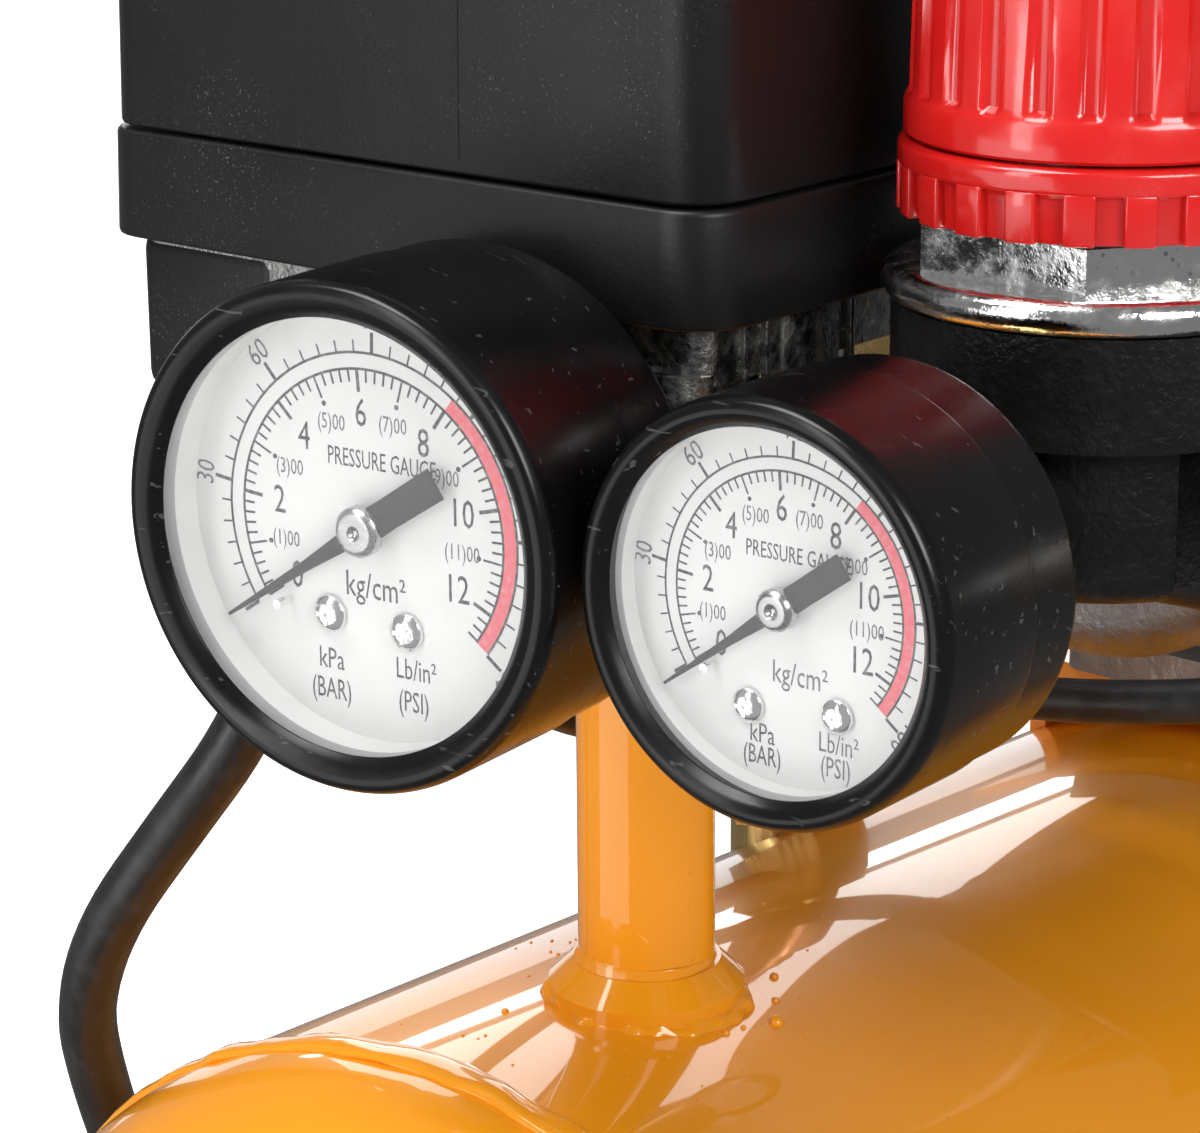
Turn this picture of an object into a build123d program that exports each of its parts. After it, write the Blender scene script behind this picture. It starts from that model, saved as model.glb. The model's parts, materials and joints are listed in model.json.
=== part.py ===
from build123d import *
import os
from math import atan2, cos, degrees, pi, radians, sin, sqrt, tan

# Portable direct-drive air compressor.  Millimetres, +Z up, origin on the floor under the middle
# of the machine.  +X runs along the tank from the gauges to the motor's fan, +Y is the side
# that the mains cord hangs on.

# ---------------------------------------------------------------- driving dimensions: tank
tank_r = 90.0           # outside radius of the tank
tank_wall = 2.5
shell_length = 330.0    # straight shell, seam to seam
cap_depth = 45.0        # rise of each dished end
under_tank = 5.0        # room between the axle and the tank
handle_reach = 75.0     # how far the handle stands out past the rear seam

riser_set = 34.3        # riser axis behind the front seam
riser_r = 8.6           # 3/8 inch pipe
riser_bore_r = 6.3
weld_r = 12.4           # foot of the weld bead
weld_rise = 5.0

# ---------------------------------------------------------------- driving dimensions: stand
wheel_r = 64.0
wheel_width = 29.0
axle_r = 6.0
wheel_set = 38.0        # axle ahead of the rear seam
wheel_gap = 4.0         # tank side to tyre
running = 0.05          # radial clearance of a turning fit
gap = 0.3               # gap between neighbours that move past each other
handle_tube_r = 11.0
handle_grip_r = 15.0
handle_width = 156.0    # between the centres of the two handle legs
handle_rise = 181.0     # grip above the tank top

# ---------------------------------------------------------------- driving dimensions: control head
gauge_rise = 73.9       # gauge axis above the tank top
gauge_1_turn = 10.0     # degrees that each fitting is screwed round from true
gauge_2_turn = 5.5
head_turn = 8.5
switch_turn = 3.3
gauge_1_face = (-61.1, -10.75)   # face centres, from the riser axis
gauge_2_face = (-51.4, -62.1)
gauge_1_r = 28.35
gauge_2_r = 22.45
dial_zero = -125.0      # pointer at rest, clockwise from upright
regulator_at = (13.6, -56.5)     # regulator axis, from the riser axis
switch_corner = (-24.8, -32.3)   # near lower corner of the switch cover, from the riser axis
switch_size = (63.0, 95.6)       # cover depth and length
cover_height = 62.0
skirt_height = 13.3
skirt_lip = 0.8         # skirt stands out past the cover
seam_rise = 32.8        # cover seam above the gauge axis
base_inset = 3.0
base_drop = 7.0         # metal base below the skirt
mains_r = 4.0
lead_r = 3.1

# ---------------------------------------------------------------- driving dimensions: pump and motor
pump_set = 85.7         # front face of the crankcase behind the riser
crankcase_length = 60.0
crankcase_r = 40.0
motor_lift = 10.0       # motor frame above the tank top
motor_r = 53.0
motor_length = 96.0
bore_r = 21.0
fin_count = 7
cowl_length = 52.0

# ---------------------------------------------------------------- worked out from the above
tank_z = wheel_r + axle_r + under_tank + tank_r
overall = cap_depth + shell_length + handle_reach
front_seam = -overall / 2 + cap_depth
rear_seam = front_seam + shell_length
tank_top = tank_z + tank_r
riser_x = front_seam + riser_set
wheel_x = rear_seam - wheel_set
handle_top = tank_top + handle_rise
pump_x = riser_x + pump_set
crank_z = tank_top + motor_r + motor_lift
head_z = tank_top + gauge_rise
seam_z = head_z + seam_rise
wheel_y = tank_r + wheel_gap + wheel_width / 2
tank_axis = Axis((0, 0, tank_z), (1, 0, 0))

os.makedirs("parts", exist_ok=True)


def save(piece, name):
    piece.part.label = name
    export_step(piece.part, f"parts/{name}.step")


def facing_x(x, y, z, turn=0.0):
    """Plane whose normal points along +X, turned about the vertical; its local y is up."""
    a = radians(turn)
    return Plane(origin=(x, y, z), x_dir=(-sin(a), cos(a), 0), z_dir=(cos(a), sin(a), 0))


def facing_y(x, y, z, turn=0.0):
    """Plane whose normal points along +Y, turned about the vertical; its local y is up."""
    a = radians(turn)
    return Plane(origin=(x, y, z), x_dir=(-cos(a), -sin(a), 0), z_dir=(-sin(a), cos(a), 0))


def facing_z(x, y, z, turn=0.0):
    a = radians(turn)
    return Plane(origin=(x, y, z), x_dir=(cos(a), sin(a), 0), z_dir=(0, 0, 1))


def disc(plane, radius, start, length, mode=Mode.ADD, at=(0, 0)):
    with BuildSketch(plane.offset(start)) as outline:
        with Locations(at):
            Circle(radius)
    extrude(to_extrude=outline.sketch, amount=length, mode=mode)


def block(plane, width, height, start, length, mode=Mode.ADD, at=(0, 0), corner=0.0):
    with BuildSketch(plane.offset(start)) as outline:
        with Locations(at):
            if corner:
                RectangleRounded(width, height, corner)
            else:
                Rectangle(width, height)
    extrude(to_extrude=outline.sketch, amount=length, mode=mode)


def hexagon(plane, across_flats, start, length, turn=0.0, mode=Mode.ADD):
    with BuildSketch(plane.offset(start)) as outline:
        RegularPolygon(across_flats / sqrt(3), 6, rotation=turn)
    extrude(to_extrude=outline.sketch, amount=length, mode=mode)


def tank_solid(radius, mode):
    """The tank's outer cylinder, for cutting what stands on it."""
    disc(facing_x(-overall, 0, tank_z), radius, 0, 2 * overall, mode)


def tube(points, radius, radii):
    with BuildLine() as route:
        FilletPolyline(*points, radius=radii)
    with BuildSketch(Plane(origin=route.line @ 0, z_dir=route.line % 0)) as outline:
        Circle(radius)
    sweep(sections=outline.sketch, path=route.line)


def cord_radii(points):
    """Each bend's radius: 0.45 of its shorter run over the tangent of half the turn."""
    radii = []
    for a, b, c in zip(points, points[1:], points[2:]):
        first = Vector(*b) - Vector(*a)
        second = Vector(*c) - Vector(*b)
        turn = first.get_angle(second)
        radii.append(0.45 * min(first.length, second.length) / tan(radians(turn) / 2))
    return radii


# ================================================================ tank
drain_x = front_seam + 60
drain_bung_r = 9.0
drain_thread_r = 4.5
with BuildPart() as tank_shell:
    disc(facing_x(0, 0, tank_z), tank_r, front_seam, shell_length)
    disc(facing_z(drain_x, 0, tank_z), drain_bung_r, -tank_r - 6, 12)
    disc(facing_x(0, 0, tank_z), tank_r - tank_wall, front_seam, shell_length, Mode.SUBTRACT)
    disc(facing_z(riser_x, 0, tank_z), riser_bore_r, 0, tank_r + 5, Mode.SUBTRACT)
    disc(facing_z(drain_x, 0, tank_z), drain_thread_r, -tank_r - 10, 20, Mode.SUBTRACT)
save(tank_shell, "tank_shell")


def dished_end(seam, side, name):
    """An elliptical head with a wall, its rim butted on the shell at seam, bulging to side."""
    with BuildPart() as cap:
        with BuildSketch(Plane.XZ) as profile:
            with BuildLine():
                outer = EllipticalCenterArc((seam, tank_z), cap_depth, tank_r, start_angle=0, arc_size=90)
                inner = EllipticalCenterArc((seam, tank_z), cap_depth - tank_wall,
                                            tank_r - tank_wall, start_angle=0, arc_size=90)
                Line(outer @ 0, inner @ 0)
                Line(outer @ 1, inner @ 1)
            make_face()
            if side < 0:
                mirror(about=Plane.YZ.offset(seam), mode=Mode.REPLACE)
        revolve(axis=tank_axis)
    save(cap, name)


dished_end(front_seam, -1, "front_cap")
dished_end(rear_seam, 1, "rear_cap")

manifold_drop = 15.0
manifold_top = 11.0
with BuildPart() as riser_pipe:
    riser_foot = facing_z(riser_x, 0, tank_z)
    disc(riser_foot, riser_r, 0, tank_r + gauge_rise - manifold_drop)
    with BuildSketch(riser_foot) as bead:
        Circle(weld_r)
    extrude(to_extrude=bead.sketch, amount=tank_r + weld_rise)
    bead_edge = riser_pipe.edges().filter_by(GeomType.CIRCLE).filter_by_position(
        Axis.Z, tank_top + weld_rise - 0.1, tank_top + weld_rise + 0.1).sort_by(SortBy.RADIUS)[-1]
    chamfer(bead_edge, min(weld_rise, weld_r - riser_r) * 0.8)
    tank_solid(tank_r, Mode.SUBTRACT)
    disc(riser_foot, riser_bore_r, 0, tank_r + gauge_rise, Mode.SUBTRACT)
save(riser_pipe, "riser_pipe")

drain_z = tank_z - tank_r - 6
with BuildPart() as drain_screw:
    drain = facing_z(drain_x, 0, drain_z)
    disc(drain, 7.0, -7 - gap, 7)
    disc(drain, drain_thread_r - running, -gap, 9)
    block(drain, 26, 3.4, -7 - gap, 6, corner=1.5)
save(drain_screw, "drain_screw")

# ================================================================ stand
axle_channel_width = 34.0
axle_channel_wall = 3.0
axle_channel_length = 128.0
wheel_z = wheel_r
with BuildPart() as axle_bracket:
    channel = facing_y(wheel_x, 0, wheel_z, 0)
    block(channel, axle_channel_width, 60, -axle_channel_length / 2, axle_channel_length, at=(0, 14))
    block(channel, axle_channel_width - 2 * axle_channel_wall, 60, -axle_channel_length / 2,
          axle_channel_length, Mode.SUBTRACT, at=(0, 14 - axle_channel_wall))
    tank_solid(tank_r, Mode.SUBTRACT)
    disc(channel, axle_r + 0.5, -axle_channel_length, 2 * axle_channel_length, Mode.SUBTRACT)
    for side in (-1, 1):
        block(channel, axle_channel_width, 2 * (axle_r + 5), side * axle_channel_length / 2 - 1.5, 3)
    disc(channel, axle_r, -axle_channel_length, 2 * axle_channel_length, Mode.SUBTRACT)
save(axle_bracket, "axle_bracket")

hub_r = 44.0
hub_cap = 6.0
wheel_inner_y = wheel_y - wheel_width / 2
axle_end_y = wheel_y + wheel_width / 2 + hub_cap
with BuildPart() as axle:
    rod = facing_y(wheel_x, 0, wheel_z)
    disc(rod, axle_r, -axle_end_y + 3, 2 * axle_end_y - 6)
    for side in (-1, 1):
        disc(rod, axle_r + 4, side * (axle_end_y - 1.5) - 1.5, 3)
        disc(rod, axle_r + 4, side * (wheel_inner_y - gap - 1) - 1, 2)
save(axle, "axle")


def wheel(side, name):
    rod = facing_y(wheel_x, side * wheel_y, wheel_z)
    half = wheel_width / 2
    with BuildPart() as hub:
        disc(rod, hub_r, -half + 3, wheel_width - 6)
        disc(rod, 15, -half, wheel_width)
        disc(rod, hub_r - 5, -half + 3, 8, Mode.SUBTRACT)
        disc(rod, hub_r - 5, half - 11, 8, Mode.SUBTRACT)
        disc(rod, 15, -half, wheel_width)
        with BuildSketch(rod.offset(-half)) as windows:
            with PolarLocations(28, 6):
                SlotOverall(15, 8, rotation=90)
        extrude(to_extrude=windows.sketch, amount=wheel_width, mode=Mode.SUBTRACT)
        disc(rod, axle_r + running, -wheel_width, 2 * wheel_width, Mode.SUBTRACT)
        disc(rod, 15, half if side > 0 else -half - 2.5, 2.5)
        disc(rod, axle_r + running, -wheel_width, 2 * wheel_width, Mode.SUBTRACT)
    save(hub, "wheel_" + name)
    with BuildPart() as tyre:
        disc(rod, wheel_r, -half, wheel_width)
        fillet(tyre.edges().filter_by(GeomType.CIRCLE), 7)
        disc(rod, hub_r, -half, wheel_width, Mode.SUBTRACT)
    save(tyre, "tyre_" + name)


wheel(-1, "left")
wheel(1, "right")

foot_x = front_seam + 22
foot_height = 24.0
foot_width = 46.0
with BuildPart() as rubber_foot:
    foot = facing_z(foot_x, 0, 0)
    disc(foot, foot_width / 2 - 3, 0, foot_height)
    chamfer(rubber_foot.edges().sort_by(Axis.Z)[0], 2)
save(rubber_foot, "rubber_foot")
with BuildPart() as foot_bracket:
    foot = facing_z(foot_x, 0, foot_height)
    block(foot, 40, foot_width, 0, tank_z - foot_height, corner=4)
    block(foot, 34, foot_width + 20, 3, tank_z, Mode.SUBTRACT)
    tank_solid(tank_r, Mode.SUBTRACT)
save(foot_bracket, "foot_bracket")

# The handle: two legs welded to the tank's shoulders, rising past the motor to a crossbar.
handle_y = handle_width / 2
handle_foot_x = rear_seam - 34
handle_bar_x = rear_seam + handle_reach - handle_grip_r
handle_foot_z = tank_z + sqrt(tank_r ** 2 - handle_y ** 2) + 2
handle_bend = 38.0
handle_points = [
    (handle_foot_x, -handle_y, handle_foot_z - 12), (handle_foot_x, -handle_y, handle_foot_z + 58),
    (handle_bar_x, -handle_y, handle_top), (handle_bar_x, handle_y, handle_top),
    (handle_foot_x, handle_y, handle_foot_z + 58), (handle_foot_x, handle_y, handle_foot_z - 12)]
with BuildPart() as handle_frame:
    tube(handle_points, handle_tube_r, handle_bend)
    tank_solid(tank_r, Mode.SUBTRACT)
save(handle_frame, "handle_frame")
grip_length = handle_width - 2 * handle_bend - 4
with BuildPart() as handle_grip:
    bar = facing_y(handle_bar_x, 0, handle_top)
    disc(bar, handle_grip_r, -grip_length / 2, grip_length)
    fillet(handle_grip.edges().filter_by(GeomType.CIRCLE), 2)
    disc(bar, handle_tube_r, -grip_length, 2 * grip_length, Mode.SUBTRACT)
save(handle_grip, "handle_grip")

# ================================================================ control head
def head_point(along, across, turn):
    """A point given along and across a fitting's own axes, from the riser axis."""
    a = radians(turn)
    return (riser_x + along * cos(a) - across * sin(a), along * sin(a) + across * cos(a))


body_r = 24.0           # regulator body
manifold_half = 15.0
manifold_front = 17.0
manifold_back = 24.0
outlet_along = 9.0      # the side ports' place along the manifold
port_r = 6.6
with BuildPart() as manifold:
    core = facing_z(riser_x, 0, head_z, head_turn)
    block(core, manifold_front + manifold_back, 2 * manifold_half, -manifold_drop,
          manifold_drop + manifold_top, at=((manifold_back - manifold_front) / 2, 0), corner=2)
    chamfer(manifold.edges().group_by(Axis.Z)[-1], 1)
    side_x, side_y = head_point(outlet_along, 0, head_turn)
    reg_x = riser_x + regulator_at[0]
    reg_y = regulator_at[1]
    side = facing_y(side_x, side_y, head_z, head_turn)
    stud_length = sqrt((side_x - reg_x) ** 2 + (side_y - reg_y) ** 2) - body_r - gap
    disc(side, 9, -manifold_half - 4, 4)
    disc(side, port_r, -stud_length, stud_length - manifold_half)
    disc(core, 6.5, manifold_top - 1, 2)
    disc(core, 4, -manifold_drop, 34, Mode.SUBTRACT)
    disc(side, 4, -stud_length, stud_length + manifold_half, Mode.SUBTRACT)
save(manifold, "manifold")

valve_length = 32.0
rear = facing_x(riser_x, 0, head_z, head_turn)
with BuildPart() as safety_valve:
    disc(rear, port_r, manifold_back, 4)
    hexagon(rear, 17, manifold_back + 4, 8)
    disc(rear, 7.5, manifold_back + 12, valve_length - 12)
    disc(rear, 1.7, manifold_back + 5, valve_length, Mode.SUBTRACT)
save(safety_valve, "safety_valve")
ring_centre = manifold_back + valve_length + 12
with BuildPart() as safety_ring:
    disc(rear, 1.65, manifold_back + 8, valve_length - 8 + 2)
    disc(rear, 4.0, manifold_back + valve_length + gap, 3)
    with BuildSketch(facing_z(riser_x, 0, head_z - 0.9, head_turn)) as loop:
        with Locations((ring_centre, 0)):
            Circle(9.5)
            Circle(7.5, mode=Mode.SUBTRACT)
    extrude(to_extrude=loop.sketch, amount=1.8)
save(safety_ring, "safety_ring")

# ---------------------------------------------------------------- pressure switch
switch_depth, switch_length = switch_size
corner_x = riser_x + switch_corner[0]
corner_y = switch_corner[1]
box = facing_z(corner_x, corner_y, seam_z, switch_turn)
box_middle = (switch_depth / 2, switch_length / 2)
cover_wall = 2.2
cover_corner = 6.5
with BuildPart() as switch_cover:
    block(box, switch_depth, switch_length, 0.5, cover_height, at=box_middle, corner=cover_corner)
    fillet(switch_cover.edges().group_by(Axis.Z)[-1], 3)
    block(box, switch_depth - 2 * cover_wall, switch_length - 2 * cover_wall, 0,
          cover_height - cover_wall, Mode.SUBTRACT, at=box_middle, corner=cover_corner - cover_wall)
    disc(box, 5.2, 0, 2 * cover_height, Mode.SUBTRACT, at=(switch_depth / 2, switch_length * 0.3))
save(switch_cover, "switch_cover")
with BuildPart() as switch_skirt:
    block(box, switch_depth + 2 * skirt_lip, switch_length + 2 * skirt_lip, -skirt_height,
          skirt_height, at=box_middle, corner=cover_corner + skirt_lip)
    block(box, switch_depth - 2 * cover_wall, switch_length - 2 * cover_wall, -skirt_height - 1,
          skirt_height + 2, Mode.SUBTRACT, at=box_middle, corner=cover_corner - cover_wall)
save(switch_skirt, "switch_skirt")

entry_width = 24.0
entry_drop = seam_rise - skirt_height + 2.0
base_depth = switch_depth - 2 * base_inset
base_length = switch_length - 2 * base_inset
entry_y = switch_length - base_inset - entry_width / 2
gland_y = entry_y - 1.7
gland_spots = [(base_inset + 12, gland_y), (base_inset + 39, gland_y)]
with BuildPart() as switch_base:
    block(box, base_depth, base_length, -skirt_height - base_drop, base_drop + 3, at=box_middle,
          corner=3)
    block(box, base_depth, entry_width, -skirt_height - entry_drop, entry_drop,
          at=(switch_depth / 2, entry_y), corner=3)
    block(box, switch_depth - 2 * cover_wall - 2 * gap, switch_length - 2 * cover_wall - 2 * gap,
          -skirt_height + 3, 4, at=box_middle, corner=cover_corner - cover_wall)
    riser_foot_top = facing_z(riser_x, 0, head_z, head_turn)
    disc(riser_foot_top, 9, manifold_top + 1, seam_rise - skirt_height - base_drop - manifold_top - 1)
    disc(riser_foot_top, 6.6, manifold_top - 2, 3.2, Mode.SUBTRACT)
    for spot in gland_spots:
        disc(box, 6.0, -skirt_height - entry_drop - 1, entry_drop, Mode.SUBTRACT, at=spot)
save(switch_base, "switch_base")

with BuildPart() as switch_knob:
    post = (switch_depth / 2, switch_length * 0.3)
    disc(box, 5.0, 20, cover_height - 10, at=post)
    disc(box, 11.0, cover_height + 1.0, 11, at=post)
    fillet(switch_knob.edges().group_by(Axis.Z)[-1], 1.5)
save(switch_knob, "switch_knob")

gland_nut = 8.0
gland_tail = 6.0
gland_z = -skirt_height - entry_drop
with BuildPart() as cable_glands:
    for spot, cable_r in zip(gland_spots, (mains_r, lead_r)):
        disc(box, 5.9, gland_z - 1, 8, at=spot)
        with BuildSketch(box.offset(gland_z - gland_nut)) as nut:
            with Locations(spot):
                RegularPolygon(9.4, 6)
        extrude(to_extrude=nut.sketch, amount=gland_nut)
        disc(box, cable_r + 2.2, gland_z - gland_nut - gland_tail, gland_tail, at=spot)
        disc(box, cable_r, gland_z - 40, 60, Mode.SUBTRACT, at=spot)
save(cable_glands, "cable_glands")

# ---------------------------------------------------------------- gauges
stem_plane = {}


def gauge(name, face, turn, rim_r, depth, joint_depth, reach):
    """A round dial gauge facing -X, its parts laid out by depth behind the bezel's face."""
    front = facing_x(riser_x + face[0], face[1], head_z, turn)
    scale = rim_r / 28.35
    opening_r = rim_r - 4.2 * scale
    skirt_r = rim_r - 0.9
    lip = 1.6
    glass = 2.0
    with BuildPart() as bezel:
        disc(front, rim_r, 0, joint_depth)
        fillet(bezel.edges().group_by(SortBy.LENGTH)[-1].filter_by(GeomType.CIRCLE), 1.2)
        disc(front, opening_r, -1, 4, Mode.SUBTRACT)
        disc(front, skirt_r, lip, joint_depth, Mode.SUBTRACT)
    save(bezel, name + "_bezel")
    with BuildPart() as lens:
        disc(front, skirt_r - 0.1, lip, glass)
    save(lens, name + "_glass")
    case_r = skirt_r - running
    dial_depth = 7.5 * scale
    with BuildPart() as case:
        disc(front, case_r, dial_depth + 0.8, joint_depth - dial_depth)
        disc(front, rim_r - 0.35, joint_depth + 0.2, depth - joint_depth - 0.2)
        fillet(case.edges().sort_by(Axis(front.origin, front.z_dir))[-1], 1.5)
        disc(front, case_r - 1.4, 0, depth - 2, Mode.SUBTRACT)
        disc(front, 4.5, 0, 2 * depth, Mode.SUBTRACT)
    save(case, name + "_case")
    with BuildPart() as dial:
        disc(front, case_r - 0.2, dial_depth, 0.8)
        disc(front, 1.2, 0, depth, Mode.SUBTRACT)
    save(dial, name + "_dial")
    with BuildPart() as pointer:
        blade = front.offset(dial_depth - 2.2)
        disc(blade, 3.2 * scale, 0, 0.8)
        disc(blade, 1.0, 0, 7)
        with BuildSketch(blade) as needle:
            with BuildLine(Rot(0, 0, 90 + dial_zero)):
                Polyline((21.5 * scale, 0.15), (3 * scale, 1.1), (-4 * scale, 1.6 * scale),
                         (-11.5 * scale, 1.9 * scale), (-11.5 * scale, -1.9 * scale),
                         (-4 * scale, -1.6 * scale), (3 * scale, -1.1), (21.5 * scale, -0.15),
                         close=True)
            make_face()
        extrude(to_extrude=needle.sketch, amount=0.5)
    save(pointer, name + "_pointer")
    stem_plane[name] = (front, depth, reach, scale)


gauge_1_depth = 29.2
gauge_2_depth = 25.9
reach_1 = sqrt(gauge_1_face[0] ** 2 + gauge_1_face[1] ** 2) - manifold_front - 0.4
reach_2 = sqrt((gauge_2_face[0] - regulator_at[0]) ** 2
               + (gauge_2_face[1] - regulator_at[1]) ** 2) - body_r
gauge("gauge_1", gauge_1_face, gauge_1_turn, gauge_1_r, gauge_1_depth, 19.0, reach_1)
gauge("gauge_2", gauge_2_face, gauge_2_turn, gauge_2_r, gauge_2_depth, 17.0, reach_2)
with BuildPart() as gauge_stems:
    for front, depth, reach, scale in stem_plane.values():
        disc(front, 4.4, depth - 12, 12)
        hexagon(front, 13, depth, min(9, reach - depth - 1))
        disc(front, 5, depth, reach - depth)
        block(front, 14 * scale, 16 * scale, depth - 15, 9)
        disc(front, 1.4, depth - 16, reach, Mode.SUBTRACT)
save(gauge_stems, "gauge_stems")

# ---------------------------------------------------------------- regulator
reg = facing_z(reg_x, reg_y, head_z, head_turn)
cup_r = 23.3
cup_z = 9.0
flange_z = 21.5
flange_r = 24.4
hex_z = 25.5
hex_flats = 37.6
hex_turn = 31.0
ring_z = 31.0
ring_r = 23.2
knob_z = 39.6
knob_r = 21.6
knob_height = 34.0
neck_r = 15.5
body_bottom = -9.4
with BuildPart() as regulator_body:
    disc(reg, 19, body_bottom, cup_z - body_bottom + 2)
    fillet(regulator_body.edges().sort_by(Axis.Z)[0], 3)
    disc(reg, cup_r, cup_z, flange_z - cup_z)
    to_gauge = facing_x(reg_x, reg_y, head_z, gauge_2_turn)
    disc(to_gauge, 8.5, -body_r, body_r)
    to_side = facing_y(reg_x, reg_y, head_z, head_turn)
    block(to_side, 22, 20, -30, 30, corner=3)
    inlet = facing_y(reg_x, reg_y, head_z, degrees(atan2(reg_x - side_x, side_y - reg_y)))
    disc(inlet, 9.5, 0, 24)
    disc(reg, 16.5, 0, flange_z, Mode.SUBTRACT)
    disc(to_side, 6, -31, 20, Mode.SUBTRACT)
save(regulator_body, "regulator_body")
with BuildPart() as bonnet_nut:
    disc(reg, flange_r, flange_z, hex_z - flange_z)
    fillet(bonnet_nut.edges().filter_by(GeomType.CIRCLE), 1.9)
    hexagon(facing_z(reg_x, reg_y, head_z, hex_turn), hex_flats, hex_z - 0.2, ring_z - gap - hex_z + 0.2)
    disc(reg, neck_r, ring_z - gap, knob_z + 20 - ring_z)
    disc(reg, 11.5, flange_z, 60, Mode.SUBTRACT)
save(bonnet_nut, "bonnet_nut")
lock_teeth = 18
with BuildPart() as lock_ring:
    disc(reg, ring_r, ring_z, knob_z - gap - ring_z)
    with BuildSketch(reg.offset(ring_z)) as notches:
        with PolarLocations(ring_r, lock_teeth):
            Rectangle(1.6, 3.6)
    extrude(to_extrude=notches.sketch, amount=5.2, mode=Mode.SUBTRACT)
    disc(reg, neck_r + running, ring_z - 1, 12, Mode.SUBTRACT)
save(lock_ring, "lock_ring")
flutes = 24
with BuildPart() as regulator_knob:
    disc(reg, knob_r + 0.6, knob_z, 4)
    disc(reg, knob_r, knob_z + 4, knob_height - 4)
    fillet(regulator_knob.edges().sort_by(Axis.Z)[-1], 3)
    with BuildSketch(reg.offset(knob_z + 5)) as grooves:
        with PolarLocations(knob_r, flutes):
            Rectangle(1.6, 2.8)
    extrude(to_extrude=grooves.sketch, amount=knob_height, mode=Mode.SUBTRACT)
    disc(reg, neck_r + running, knob_z, 20.5, Mode.SUBTRACT)
    disc(reg, 4, knob_z + 20, 6)
save(regulator_knob, "regulator_knob")

coupler_start = -30.0
coupler_length = 34.0
with BuildPart() as coupler_body:
    hexagon(to_side, 17, coupler_start - 8, 8)
    disc(to_side, 5.9, coupler_start, 9)
    disc(to_side, 7.5, coupler_start - coupler_length, coupler_length - 8)
    disc(to_side, 3.6, coupler_start - coupler_length - 1, coupler_length + 12, Mode.SUBTRACT)
    disc(to_side, 5.2, coupler_start - coupler_length - 1, 18, Mode.SUBTRACT)
save(coupler_body, "coupler_body")
with BuildPart() as coupler_sleeve:
    disc(to_side, 11.0, coupler_start - coupler_length + 4, 18)
    fillet(coupler_sleeve.edges().filter_by(GeomType.CIRCLE), 1.2)
    disc(to_side, 7.5 + running, coupler_start - coupler_length - 5, 40, Mode.SUBTRACT)
save(coupler_sleeve, "coupler_sleeve")

# ================================================================ pump
crank = facing_x(0, 0, crank_z)
case_wall = 5.0
shaft_r = 7.0
cylinder_x = pump_x + crankcase_length / 2
cylinder_foot = crank_z + max(crankcase_r + 8, motor_r - 5)   # its lowest fin clears the motor
pad = 60.0
pedestal_width = 33.0
pedestal_x = pump_x + crankcase_length - 8
bolt_y = pedestal_width / 2 + 5
saddle_front = pump_x + 40
saddle_length = 100.0
saddle_top = tank_top + 7.0
foot_reach = 46.0
with BuildPart() as crankcase:
    disc(crank, crankcase_r, pump_x, crankcase_length)
    fillet(crankcase.edges().sort_by(Axis.X)[0], 6)
    block(facing_z(cylinder_x, 0, crank_z), pad, pad, 0, cylinder_foot - crank_z, corner=6)
    block(facing_z(pedestal_x, 0, saddle_top), 16, pedestal_width, 0, crank_z - saddle_top - 25,
          corner=3)
    block(facing_z(pedestal_x - 3, 0, saddle_top), 22, pedestal_width + 22, 0, 6, corner=4)
    for side in (-1, 1):
        disc(facing_z(pedestal_x - 3, side * bolt_y, saddle_top), 3.2, -2, 12, Mode.SUBTRACT)
    disc(crank, crankcase_r - case_wall, pump_x + case_wall, crankcase_length - 2 * case_wall,
         Mode.SUBTRACT)
    disc(facing_z(cylinder_x, 0, crank_z), bore_r, 0, 60, Mode.SUBTRACT)
    disc(crank, shaft_r + running, pump_x + crankcase_length - case_wall - 1, case_wall + 2,
         Mode.SUBTRACT)
save(crankcase, "crankcase")

fin_pitch = 7.0
fin_size = 76.0
barrel_r = bore_r + 5
cylinder_height = fin_count * fin_pitch + 4
with BuildPart() as cylinder:
    stack = facing_z(cylinder_x, 0, cylinder_foot)
    disc(stack, barrel_r, 0, cylinder_height)
    block(stack, pad, pad, 0, 4, corner=6)
    for fin in range(fin_count):
        block(stack, fin_size, fin_size, 6 + fin * fin_pitch, 2.4, corner=14)
    disc(stack, bore_r, -1, cylinder_height + 2, Mode.SUBTRACT)
save(cylinder, "cylinder")

head_height = 26.0
head_foot = cylinder_foot + cylinder_height
with BuildPart() as cylinder_head:
    top = facing_z(cylinder_x, 0, head_foot)
    block(top, fin_size - 4, fin_size - 4, 0, 10, corner=10)
    block(top, fin_size - 14, fin_size - 14, 10, 6, corner=8)
    for fin in range(6):
        block(top, 3, fin_size - 8, 10, head_height - 10, at=(-28 + fin * 11.2, 0))
    outlet = facing_y(cylinder_x, 0, head_foot + 8)
    disc(outlet, 8, fin_size / 2 - 4, 6, at=(20, 0))
    disc(outlet, 5, fin_size / 2 - 10, 14, Mode.SUBTRACT, at=(20, 0))
save(cylinder_head, "cylinder_head")

filter_y = -(fin_size / 2 - 2)
with BuildPart() as air_filter:
    inlet_port = facing_y(cylinder_x, 0, head_foot + 8)
    disc(inlet_port, 7, filter_y - 10, 10)
    disc(inlet_port, 20, filter_y - 32, 22)
    fillet(air_filter.edges().sort_by(Axis.Y)[0], 3)
    for rib in range(3):
        disc(inlet_port, 21.5, filter_y - 28 + rib * 6, 2)
save(air_filter, "air_filter")

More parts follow.
